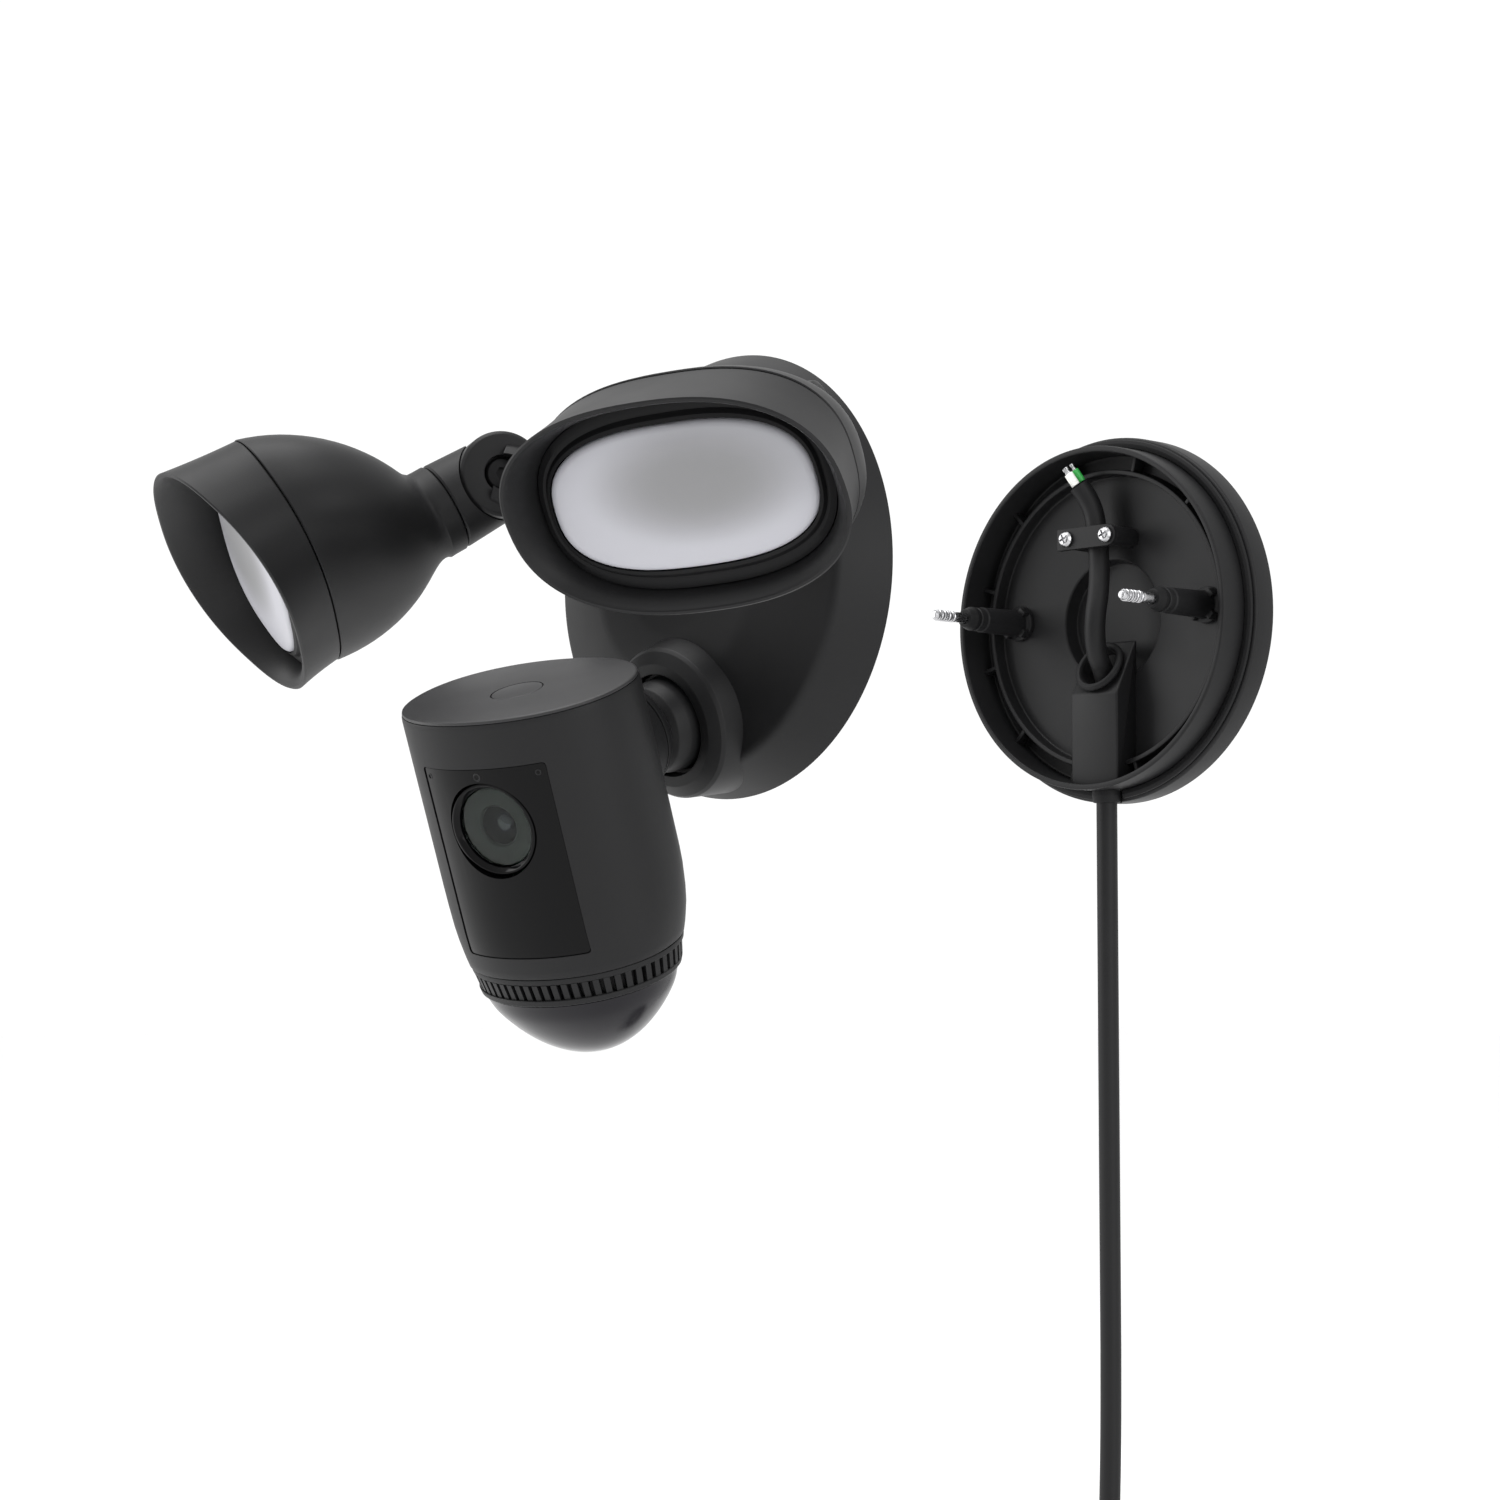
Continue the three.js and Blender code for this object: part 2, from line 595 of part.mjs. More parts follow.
// Lamp driver in its tray, between the stud holes.
const BOARD_AT = 19.8;
const DRIVER_HALF = 19.5;
const DRIVER_Z = [-19, 34];
const TRAY_WALL = 1.5;
function driverBoard() {
  const half = DRIVER_HALF - TRAY_WALL - GAP;
  const [bottom, top] = [DRIVER_Z[0] + TRAY_WALL + GAP, DRIVER_Z[1] - TRAY_WALL - GAP];
  const boardY = BASE_Y - BOARD_AT;
  const board = box(-half, half, boardY - 1.6, boardY, bottom, top);
  const transformer = box(-15, -3, boardY - 0.1, boardY + 4, 8, 24);
  const capacitor = box(4, 15, boardY - 0.1, boardY + 3.6, -12, 4);
  return join(board, transformer, capacitor);
}
piece(fixture, "driver_board", driverBoard(), boardGreen);

function driverCover() {
  const [bottom, top] = DRIVER_Z;
  const outer = box(-DRIVER_HALF, DRIVER_HALF, BASE_Y - 20.2, BASE_Y - 13.4, bottom, top);
  const half = DRIVER_HALF - TRAY_WALL;
  const hollow = box(-half, half, BASE_Y - 30, BASE_Y - 14.6, bottom + TRAY_WALL, top - TRAY_WALL);
  const outlet = bar([0, BASE_Y - 10, -9], [0, BASE_Y - 16, -9], 5);
  return cut(outer, hollow, outlet);
}
piece(fixture, "driver_cover", driverCover(), charcoal);

// ---- lamp arms and heads ---------------------------------------------------------------------------------
const BOLT_R = 3;
const NECK_SEAM = 19.5; // from the pivot to the joint between knuckle and neck
const NECK_SPIGOT_R = 8;
const WIREWAY_R = 5;
for (const side of Object.keys(SIDES)) {
  const { sign, pivot, outward, inner, root, direction } = armFrame(side);
  const across = (distance) => pivot.clone().addScaledVector(outward, distance).toArray();
  const at = (distance) => root.clone().addScaledVector(direction, distance).toArray();
  const reach = inner.clone().sub(root).length();

  // The arm: a spigot in the base's socket, a round tube, and the inner half of the knuckle.
  const arm = join(
    bar(at(-9), at(SOCKET_REACH + 2), SPIGOT_R),
    bar(at(SOCKET_REACH + GAP), at(reach), ARM_R, ARM_R, 16),
    bar(across(-KNUCKLE_HALF), across(-GAP / 2), KNUCKLE_R, KNUCKLE_R, 20),
  );
  const headSideClear = bar(across(-GAP / 2), across(KNUCKLE_HALF + 14), KNUCKLE_R + 4);
  const boltHole = bar(across(-KNUCKLE_HALF - 8), across(KNUCKLE_HALF + 8), BOLT_R + GAP);
  const boltRecess = bar(across(-KNUCKLE_HALF - 8), across(-KNUCKLE_HALF + 3), 6);
  piece(fixture, `${side}_arm`, cut(arm, headSideClear, boltHole, boltRecess), charcoal);

  // The bolt that clamps the knuckle, and its cap.
  const bolt = join(
    bar(across(-KNUCKLE_HALF + 2.7), across(-KNUCKLE_HALF + 0.4), 5.6, 5),
    bar(across(-KNUCKLE_HALF + 1), across(KNUCKLE_HALF - 3.2), BOLT_R),
  );
  piece(fixture, `${side}_knuckle_bolt`, bolt, steel);

  // The head's frame: forward is -Y, turned by its heading and pitch; the roll comes after the knuckle.
  // The head's half of the knuckle is on the outer side.
  const tilt = new THREE.Group();
  tilt.position.copy(pivot);
  tilt.rotation.set(rad(HEAD_PITCH), 0, rad(sign * HEAD_YAW), "ZXY");
  fixture.add(tilt);
  const lug = join(
    bar([sign * (GAP / 2), 0, 0], [sign * KNUCKLE_HALF, 0, 0], KNUCKLE_R, KNUCKLE_R, 20),
    bar([0, -3, 0], [0, -NECK_SEAM + GAP, 0], KNUCKLE_R + 0.2, KNUCKLE_R + 0.8, 20),
  );
  const clearR = KNUCKLE_R + 0.4;
  const armSideClear = bar([sign * (GAP / 2), 0, 0], [-sign * 20, 0, 0], clearR, clearR, 20);
  const lugHole = bar([-20, 0, 0], [20, 0, 0], BOLT_R + GAP);
  const neckBore = bar([0, -15.6, 0], [0, -40, 0], NECK_SPIGOT_R + GAP);
  piece(tilt, `${side}_knuckle`, cut(lug, armSideClear, lugHole, neckBore), charcoal);

  const head = new THREE.Group();
  head.rotation.y = rad(-HEAD_ROLL[side]);
  tilt.add(head);
  lampHead(head, side);
}

// One lamp head, lens facing -Y, its neck on the Y axis through the knuckle.
function lampHead(head, side) {
  const COUNT = 24;
  const lensY = -LENS_AHEAD;
  const seamY = lensY + SEAM_BEHIND;
  const backY = seamY + REAR_LENGTH;
  const LAMP_NECK_R = 15;

  // Ring of points at depth y, moved up by rise.
  const ring = (halfW, halfH, power, y, rise, slope = 0) =>
    oval(halfW, halfH, power, COUNT).map(([x, z]) => vec(x, y - slope * z, z + rise));

  // Bowl behind the seam: an elliptical fall-off from the seam down to the neck.
  function bowl(inset) {
    const rings = [];
    const STEPS = 3;
    for (let i = 0; i <= STEPS; i++) {
      const u = Math.sin((i / STEPS) * 0.46 * PI);
      const size = cos((i / STEPS) * 0.46 * PI);
      const halfW = Math.max(SEAM_HALF[0] * size - inset, LAMP_NECK_R - inset - 2);
      const halfH = Math.max(SEAM_HALF[1] * size - inset, LAMP_NECK_R - inset - 2);
      const depth = Math.min(u * (REAR_LENGTH - inset * 0.8), REAR_LENGTH);
      rings.push(ring(halfW, halfH, 2.5 - 0.5 * u, seamY + depth, LENS_RISE - REAR_DROP * u));
    }
    return rings;
  }
  const neckSection = (radius, y) => oval(radius, radius, 2, COUNT).map(([x, z]) => vec(x, y, z));
  const rearOuter = loft(bowl(0));
  const neck = loft([
    neckSection(LAMP_NECK_R, -NECK_SEAM),
    neckSection(LAMP_NECK_R + 0.4, -NECK_SEAM - 6),
    neckSection(LAMP_NECK_R + 3.5, backY - 8),
    neckSection(LAMP_NECK_R + 7, backY - 20),
  ]);
  const rearHollow = loft([
    ring(SEAM_HALF[0] - HEAD_WALL, SEAM_HALF[1] - HEAD_WALL, 2.5, seamY - 2, LENS_RISE),
    ...bowl(HEAD_WALL),
  ]);
  const spigot = bar([0, -15.9, 0], [0, -NECK_SEAM - 2, 0], NECK_SPIGOT_R);
  const wireway = bar([0, -8, 0], [0, -60, 0], WIREWAY_R);
  const rearShell = cut(join(rearOuter, neck, spigot), rearHollow, wireway);
  piece(head, `${side}_rear_shell`, rearShell, charcoal);

  // Hood from the seam to the visor-like rim, flared, and cut back at a slope.
  const rimMid = lensY - RIM_AHEAD;
  const hoodOuter = loft([
    ring(SEAM_HALF[0], SEAM_HALF[1], 2.5, seamY - GAP, LENS_RISE),
    ring(SEAM_HALF[0] + 1.2, SEAM_HALF[1] + 1, 2.45, (seamY + rimMid) / 2, LENS_RISE, RIM_SLOPE / 2),
    ring(RIM_HALF[0], RIM_HALF[1], 2.38, rimMid, LENS_RISE, RIM_SLOPE),
  ]);
  const hoodInner = loft([
    ring(SEAM_HALF[0] - 3.4, SEAM_HALF[1] - 3.4, 2.5, seamY + 1, LENS_RISE),
    ring(SEAM_HALF[0] - 3, SEAM_HALF[1] - 3, 2.45, lensY + 3, LENS_RISE),
    ring(RIM_HALF[0] - 1.6, RIM_HALF[1] - 1.6, 2.38, rimMid - 1, LENS_RISE, RIM_SLOPE),
  ]);
  piece(head, `${side}_hood`, cut(hoodOuter, hoodInner), charcoal);

  // Stepped bezel between the hood and the lens.
  const bezelOuter = loft([
    ring(SEAM_HALF[0] - 4, SEAM_HALF[1] - 4, 2.5, seamY - 1, LENS_RISE),
    ring(SEAM_HALF[0] - 3.6, SEAM_HALF[1] - 3.6, 2.45, lensY + 3.5, LENS_RISE),
  ]);
  const bezelOpening = loft([
    ring(LENS_HALF[0] + GAP, LENS_HALF[1] + GAP, 2.62, seamY + 2, LENS_RISE),
    ring(LENS_HALF[0] + GAP, LENS_HALF[1] + GAP, 2.62, lensY - 2, LENS_RISE),
  ]);
  piece(head, `${side}_bezel`, cut(bezelOuter, bezelOpening), charcoal);

  const lens = loft([
    ring(LENS_HALF[0], LENS_HALF[1], 2.62, lensY + 6.5, LENS_RISE),
    ring(LENS_HALF[0], LENS_HALF[1], 2.62, lensY + 1.6, LENS_RISE),
    ring(LENS_HALF[0] - 1.2, LENS_HALF[1] - 1.2, 2.6, lensY + 0.4, LENS_RISE),
    ring(LENS_HALF[0] - 6, LENS_HALF[1] - 5, 2.5, lensY, LENS_RISE),
  ]);
  piece(head, `${side}_lens`, lens, diffuserWhite);

  const boardY = seamY + 2.2;
  const plate = (halfW, halfH, y, rise) => oval(halfW, halfH, 2.4, 16).map(([x, z]) => vec(x, y, z + rise));
  const board = loft([
    plate(34, 19, boardY + 1.6, LENS_RISE),
    plate(34, 19, boardY, LENS_RISE),
  ]);
  const LED_HALF = 2.6;
  const leds = [-18, 0, 18].map((x) =>
    box(x - LED_HALF, x + LED_HALF, boardY - 1.2, boardY + 0.2, LENS_RISE - LED_HALF, LENS_RISE + LED_HALF),
  );
  piece(head, `${side}_led_board`, join(board, ...leds), boardGreen);

  // Heat sink: a plate with upright fins behind the board.
  const sinkY = boardY + 1.6 + GAP;
  const sinkPlate = loft([
    plate(31, 17, sinkY + 3, LENS_RISE - 1),
    plate(33, 18, sinkY, LENS_RISE),
  ]);
  const fins = [-16, -8, 0, 8, 16].map((x) => {
    const trim = Math.abs(x) / 6;
    return box(x - 0.9, x + 0.9, sinkY + 2.8, sinkY + 13, LENS_RISE - 13 + trim, LENS_RISE + 7 - trim);
  });
  piece(head, `${side}_heat_sink`, join(sinkPlate, ...fins), aluminium);
}

// ---- camera head -----------------------------------------------------------------------------------------
// Ball stem: its shaft turns in the base's boss, and its ball carries the camera.
function ballStem() {
  const shaft = bar(onBoss(-BOSS_BEHIND - 14), onBoss(-BOSS_BEHIND), STEM_R);
  const barrel = bar(onBoss(-BOSS_BEHIND - 1.2), onBoss(-BOSS_BEHIND + 9), 15.4, BARREL_R, 20);
  const taper = bar(onBoss(-BOSS_BEHIND + 8.9), onBoss(-12.5), BARREL_R, NECK_R, 20);
  const neck = bar(onBoss(-12.6), onBoss(-8), NECK_R);
  return join(shaft, barrel, taper, neck, ball(BALL, BALL_R));
}
piece(fixture, "camera_ball_stem", ballStem(), charcoal);

const camera = new THREE.Group();
const cameraTurn = new THREE.Matrix4().makeRotationFromEuler(
  new THREE.Euler(rad(CAMERA_PITCH), 0, rad(CAMERA_YAW), "ZXY"),
);
// The group's origin is the middle of the camera's top face, so it is placed from the ball.
const topCentre = vec(0, BALL_BEHIND, -BALL_BELOW).applyMatrix4(cameraTurn);
camera.position.set(BALL[0] - topCentre.x, BALL[1] - topCentre.y, BALL[2] - topCentre.z);
camera.rotation.set(rad(CAMERA_PITCH), 0, rad(CAMERA_YAW), "ZXY");
fixture.add(camera);
const BALL_LOCAL = [0, BALL_BEHIND, -BALL_BELOW];

// Nylon liner between the ball and the camera's socket: a thin shell, open behind for the stem.
const LINER_IN = BALL_R + 0.2;
const LINER_OUT = LINER_IN + 2.2;
const SOCKET_SEAM = 4.9;
const onSocket = (reach) => along(BALL_LOCAL, [0, 1, 0], reach);
function liner() {
  const shell = cut(ball(BALL_LOCAL, LINER_OUT), hollowBall(BALL_LOCAL, LINER_IN));
  const frontOpen = bar(onSocket(-9), onSocket(-30), 12);
  const rearOpen = bar(onSocket(0), onSocket(30), 30);
  return cut(shell, frontOpen, rearOpen);
}
piece(camera, "socket_liner", liner(), wireWhite);

const SHELL_COUNT = 24;
const bodyRing = (size, z, power = 2.15, shift = 0) =>
  oval(BODY_HALF[0] * size, BODY_HALF[1] * size, power, SHELL_COUNT).map(([x, y]) => vec(x, y - shift, z));
const insetRing = (size, z, inset, power = 2.15, shift = 0) =>
  oval(BODY_HALF[0] * size - inset, BODY_HALF[1] * size - inset, power, SHELL_COUNT).map(([x, y]) =>
    vec(x, y - shift, z),
  );
// [size, depth below the top, forward shift] down the body's side
const BODY_SECTIONS = [
  [0.992, 1.2, 0],
  [1, 3, 0],
  [1, 58, 0],
  [0.985, 68, 0.5],
  [0.95, 76, 1.2],
  [0.915, GRILLE_TOP, 1.8],
];
const bodySkin = (inset, top, bottom) =>
  loft([
    insetRing(0.992, top, inset),
    ...BODY_SECTIONS.slice(1, -1).map(([size, down, shift]) => insetRing(size, -down, inset, 2.15, shift)),
    insetRing(0.915, bottom, inset, 2.15, 1.8),
  ]);

const panelWindow = (grow) =>
  box(-PANEL_HALF - grow, PANEL_HALF + grow, -60, -10, -PANEL_BOTTOM - grow, -PANEL_TOP + grow);
const lensAt = (y) => [0, y, -LENS_DOWN];
const WINDOW_FACE = -26.3;

function cameraShell() {
  const skin = bodySkin(0, -1.2, -GRILLE_TOP);
  const hollow = bodySkin(BODY_WALL, -0.5, -GRILLE_TOP - 1);
  // the back carries the socket that grips the liner
  const socketOuter = bar([0, 26, -BALL_BELOW], onSocket(SOCKET_SEAM), 19.2, 18.4, 20);
  const socketHole = join(
    hollowBall(BALL_LOCAL, LINER_OUT + GAP),
    bar(onSocket(0.5), onSocket(30), LINER_OUT + 0.8, LINER_OUT + 0.8, BALL_SIDES),
    bar([0, 20, -BALL_BELOW], BALL_LOCAL, 10),
  );
  return cut(join(cut(skin, hollow), socketOuter), socketHole, panelWindow(0));
}
piece(camera, "camera_shell", cameraShell(), charcoal);

// Ring that closes the socket behind the ball: its mouth is narrower than the ball.
function socketRing() {
  const band = bar(onSocket(SOCKET_SEAM + GAP), onSocket(10.2), 18.4, 16.8, 20);
  const mouth = bar(onSocket(SOCKET_SEAM - 0.5), onSocket(10.7), 13.3, 15.8, 20);
  return cut(band, mouth);
}
piece(camera, "socket_ring", socketRing(), charcoal);

const BUTTON_R = 7.8;
const BUTTON_AT = [0, -1];
const onTop = (depth) => [...BUTTON_AT, -depth];
function topCap() {
  const cap = loft([insetRing(0.992, -0.9, 0.1), insetRing(0.985, -0.2, 0), insetRing(0.97, 0, 0)]);
  const hole = bar(onTop(5), onTop(-3), BUTTON_R + 0.4, BUTTON_R + 0.4, 20);
  const skirt = cut(
    loft([insetRing(0.992, -0.5, BODY_WALL + GAP), insetRing(0.992, -4.5, BODY_WALL + GAP)]),
    loft([insetRing(0.992, -0.9, BODY_WALL + 2.2), insetRing(0.992, -6, BODY_WALL + 2.2)]),
  );
  return cut(join(cap, skirt), hole);
}
piece(camera, "top_cap", topCap(), satinTop);

// The button's flange stays under the cap, and its face is flush.
const button = join(
  bar(onTop(1.6), onTop(0), BUTTON_R, BUTTON_R, 20),
  bar(onTop(2.8), onTop(1.5), BUTTON_R + 1.8, BUTTON_R + 1.8, 20),
);
piece(camera, "setup_button", button, satinTop);

function frontPanel() {
  const skin = bodySkin(0.35, -1.2, -GRILLE_TOP);
  const hollow = bodySkin(BODY_WALL + 0.2, -0.5, -GRILLE_TOP - 1);
  const hole = bar(lensAt(-50), lensAt(-10), LENS_RING_R + 0.5, LENS_RING_R + 0.5, 24);
  return cut(cut(skin, hollow).intersect(panelWindow(-GAP)), hole);
}
piece(camera, "front_panel", frontPanel(), glossBlack);

const aboutLens = (outline) => turned(outline, 24).translate([0, 0, -LENS_DOWN]);
piece(
  camera,
  "lens_ring",
  aboutLens([
    [LENS_RING_R - 2.1, 24.5],
    [LENS_RING_R - 2.1, 27],
    [LENS_RING_R - 1, 28.2],
    [LENS_RING_R, 27.6],
    [LENS_RING_R, 24.5],
  ]),
  glossBlack,
);
piece(
  camera,
  "lens_window",
  aboutLens([
    [0, 24.6],
    [LENS_RING_R - 2.1 - GAP, 24.6],
    [LENS_RING_R - 2.1 - GAP, 26.2],
    [9, -WINDOW_FACE + 0.2],
    [0, -WINDOW_FACE + 0.4],
  ]),
  glass,
);
piece(
  camera,
  "lens_barrel",
  aboutLens([
    [0, 9],
    [7.2, 9],
    [7.2, 17],
    [9.4, 17],
    [9.4, 24],
    [0, 24],
  ]),
  glossBlack,
);

// Boards and sounders inside the body.
const mainBoard = join(box(-24, 24, 6.6, 8.2, -70, -8), box(-9, 9, 2.5, 6.7, -64, -50));
piece(camera, "main_board", mainBoard, boardGreen);
const sensor = box(-5, 5, -8.6, -7, -LENS_DOWN - 4, -LENS_DOWN + 4);
const sensorCard = box(-13, 13, -7.1, -5.5, -LENS_DOWN - 12, -LENS_DOWN + 12);
piece(camera, "image_sensor", join(sensor, sensorCard), boardGreen);
const speaker = join(bar([0, -2, -74.5], [0, -2, -79], 14), bar([0, -2, -71], [0, -2, -75], 9));
piece(camera, "speaker", speaker, aluminium);

// Grille ring: a tapered band with a row of upright slots.
const SLOTS = 8;
function grilleRing() {
  const outer = loft([
    bodyRing(0.912, -GRILLE_TOP - GAP, 2.1, 1.8),
    bodyRing(0.9, -GRILLE_TOP - 3, 2.1, 2),
    bodyRing(0.862, -GRILLE_BOTTOM, 2.05, 2.8),
  ]);
  const inner = loft([
    insetRing(0.912, -GRILLE_TOP + 1, 2, 2.1, 1.8),
    insetRing(0.9, -GRILLE_TOP - 3, 2, 2.1, 2),
    insetRing(0.862, -GRILLE_BOTTOM - 1, 2, 2.05, 2.8),
  ]);
  const slots = Array.from({ length: SLOTS }, (_, i) => {
    const angle = (2 * PI * (i + 0.5)) / SLOTS;
    const radius = hypot(BODY_HALF[0] * cos(angle), BODY_HALF[1] * sin(angle));
    const slot = new THREE.BoxGeometry(14, 2.6, GRILLE_BOTTOM - GRILLE_TOP - 4.2);
    slot.translate(radius * 0.88, 0, 0);
    slot.rotateZ(angle);
    return solid(slot.translate(0, -2.2, -(GRILLE_TOP + GRILLE_BOTTOM) / 2 - 0.1));
  });
  return cut(cut(outer, inner), ...slots);
}
piece(camera, "grille_ring", grilleRing(), charcoal);

// Smooth dome over the motion sensors.
function sensorDome() {
  const sizes = [
    [0.835, GRILLE_BOTTOM + GAP],
    [0.77, 96],
    [0.62, 103],
    [0.44, 108.8],
    [0.24, 112.7],
    [0.03, DOME_APEX],
  ];
  const outer = loft(sizes.map(([size, down]) => bodyRing(size, -down, 2.05, 3)));
  const inner = loft([
    insetRing(0.835, -GRILLE_BOTTOM + 1, 2, 2.05, 3),
    ...sizes.slice(1, -2).map(([size, down]) => insetRing(size, -down + 1.6, 1.8, 2.05, 3)),
  ]);
  return cut(outer, inner);
}
piece(camera, "sensor_dome", sensorDome(), domeBlack);
piece(
  camera,
  "sensor_board",
  join(
    bar([0, -3, -92], [0, -3, -93.6], 16),
    ...[-7, 0, 7].map((x) => bar([x, -5, -93.4], [x, -5, -96.5], 2.6)),
  ),
  boardGreen,
);

export default object;
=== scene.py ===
# %% [markdown]
# A floodlight security camera, shown drawn forward off its wall plate. This lesson dresses the packed
# model: every visible part gets a finer skin, real edges and a finish of its own. Lengths are written in
# millimetres, as a maker would, and turned into metres when a mesh is made.

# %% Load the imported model
import json
from math import copysign, cos, floor, pi, radians, sin, sqrt, tan

import bmesh
import bpy
from mathutils import Matrix, Vector

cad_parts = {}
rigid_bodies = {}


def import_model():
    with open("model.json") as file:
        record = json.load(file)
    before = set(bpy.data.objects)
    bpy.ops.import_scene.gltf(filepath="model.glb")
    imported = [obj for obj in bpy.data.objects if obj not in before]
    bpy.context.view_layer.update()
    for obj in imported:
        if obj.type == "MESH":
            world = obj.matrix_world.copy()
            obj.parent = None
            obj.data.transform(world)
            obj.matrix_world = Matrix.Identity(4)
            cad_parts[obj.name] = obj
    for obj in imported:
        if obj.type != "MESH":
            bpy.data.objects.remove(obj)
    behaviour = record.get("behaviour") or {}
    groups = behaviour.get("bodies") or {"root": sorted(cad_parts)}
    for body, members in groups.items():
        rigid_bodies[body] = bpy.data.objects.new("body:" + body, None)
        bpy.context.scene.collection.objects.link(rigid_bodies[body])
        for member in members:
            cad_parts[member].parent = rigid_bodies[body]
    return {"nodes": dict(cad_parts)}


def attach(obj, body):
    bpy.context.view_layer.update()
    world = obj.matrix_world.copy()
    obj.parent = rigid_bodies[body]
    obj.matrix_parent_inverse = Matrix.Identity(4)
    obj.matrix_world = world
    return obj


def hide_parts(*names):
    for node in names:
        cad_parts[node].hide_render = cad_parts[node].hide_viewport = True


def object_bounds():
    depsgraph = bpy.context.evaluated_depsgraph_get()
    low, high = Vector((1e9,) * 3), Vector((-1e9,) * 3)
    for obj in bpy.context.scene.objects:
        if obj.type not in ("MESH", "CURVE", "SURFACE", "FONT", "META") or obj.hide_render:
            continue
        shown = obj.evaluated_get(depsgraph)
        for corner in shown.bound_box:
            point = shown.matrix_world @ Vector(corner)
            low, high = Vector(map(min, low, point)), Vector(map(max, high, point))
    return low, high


for leftover in list(bpy.data.objects):
    bpy.data.objects.remove(leftover)
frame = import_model()
cad_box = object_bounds()
scene = bpy.context.scene
MM = 0.001

# %% [markdown]
# The viewpoint comes first: a long lens, a little below the fixture, off to its right. The camera's
# matrix is built from three directions, which is easier to reason about than three angles.

# %% Viewpoint
azimuth, elevation = radians(46.42), radians(-3.82)
backward = Vector((sin(azimuth) * cos(elevation), -cos(azimuth) * cos(elevation), sin(elevation)))
rightward = Vector((cos(azimuth), sin(azimuth), 0))
upward = backward.cross(rightward)
lens = bpy.data.cameras.new("viewpoint")
lens.lens = 76.8
lens.sensor_width = 36
viewpoint = bpy.data.objects.new("viewpoint", lens)
scene.collection.objects.link(viewpoint)
turn = Matrix((rightward, upward, backward)).transposed()
viewpoint.matrix_world = Matrix.Translation((0.7420, -0.8949, -0.1235)) @ turn.to_4x4()
scene.camera = viewpoint
print("lens", lens.lens, "mm")

# %% [markdown]
# The power cord is a fixed length of 7.5 mm flex. It leaves the plate's lower edge, hangs straight, and
# leans forward into a tied coil, which clears the wall. The coil is wound as one cord: a single first turn
# in the groove on top, then four flat spirals side by side. Each turn keeps its radius for two thirds of
# the way round and eases to the next place in the last third, so neighbours stay a diameter apart.

# %% Route of the cord
CORD_D = 7.5
CORD_Y = -12.2
COIL_Y, COIL_Z = CORD_Y - 5.2, -410
PITCH = 7.6
HANG_Z = (-64, -85, -110, -135, -160, -185, -210, -235, -260)
hanging = [Vector((0, CORD_Y, z)) for z in HANG_Z]
leaning = [Vector(point) for point in (
    (0, -12.5, -285), (0, -13.1, -305), (0, -13.8, -318), (-0.8, -14.5, -325.6), (-3.6, -15.2, -333.4),
    (-7.6, -15.8, -339.2), (-12.6, -16.4, -344.4), (-18.2, -16.9, -348.9), (-24.3, -17.2, -353.1))]

layers = [30.8 + PITCH * layer for layer in range(5)]
turns = [(layers[4], COIL_Y)]
turns += [(radius, COIL_Y + 1.5 * PITCH) for radius in reversed(layers)]
turns += [(radius, COIL_Y + 0.5 * PITCH) for radius in layers[:4]]
turns += [(radius, COIL_Y - 0.5 * PITCH) for radius in reversed(layers[:4])]
turns += [(radius, COIL_Y - 1.5 * PITCH) for radius in layers]


def on_coil(degrees):
    """Where the winding is after so many degrees, counted from the top and going left."""
    turn_number = floor(degrees / 360)
    step = max(0, (degrees % 360 - 240) / 120)
    ease = step * step * (3 - 2 * step)
    here, after = turns[turn_number], turns[min(turn_number + 1, len(turns) - 1)]
    radius = here[0] + (after[0] - here[0]) * ease
    depth = here[1] + (after[1] - here[1]) * ease
    angle = radians(degrees)
    return Vector((-radius * sin(angle), depth, COIL_Z + radius * cos(angle)))


COIL_START, COIL_STEP = 30, 10
coil_end = 360 * (len(turns) - 1) + 90
winding = [on_coil(degrees) for degrees in range(COIL_START, coil_end + 1, COIL_STEP)]
PLUG_X, PLUG_Y, PLUG_TOP = -layers[4], COIL_Y - 1.5 * PITCH, COIL_Z - 32
tail = [Vector((PLUG_X, PLUG_Y, z)) for z in (COIL_Z - 10, COIL_Z - 20, PLUG_TOP - 1.5)]


def smooth_route(points, between=6):
    """A smooth curve through the points, as a denser list."""
    route = []
    for i in range(len(points) - 1):
        before, start = points[max(i - 1, 0)], points[i]
        end, after = points[i + 1], points[min(i + 2, len(points) - 1)]
        for k in range(between):
            t = k / between
            route.append(
                0.5 * (2 * start + (end - before) * t + (2 * before - 5 * start + 4 * end - after) * t**2
                       + (3 * start - before - 3 * end + after) * t**3)
            )
    return route + [points[-1]]


route = hanging[:-1] + smooth_route([hanging[-1]] + leaning + winding[:1])[:-1] + winding + tail

# %% [markdown]
# Finishes. Moulded plastic is never one flat colour: a spark-eroded mould leaves a fine grain, and the
# sheen wanders a little across a part. One function builds that from two noise patterns on Object
# coordinates, and each part family gets its own colour, sheen and grain.


# %% Finish maker
def new_finish(name):
    material = bpy.data.materials.new(name)
    material.use_nodes = True
    nodes = material.node_tree.nodes
    return material, nodes, material.node_tree.links, nodes["Principled BSDF"]


def noise_at(nodes, links, size, detail=3.0):
    """Noise whose lumps are about so many millimetres across."""
    place = nodes.new("ShaderNodeTexCoord")
    noise = nodes.new("ShaderNodeTexNoise")
    noise.inputs["Scale"].default_value = 1000 / size
    noise.inputs["Detail"].default_value = detail
    links.new(place.outputs["Object"], noise.inputs["Vector"])
    return noise


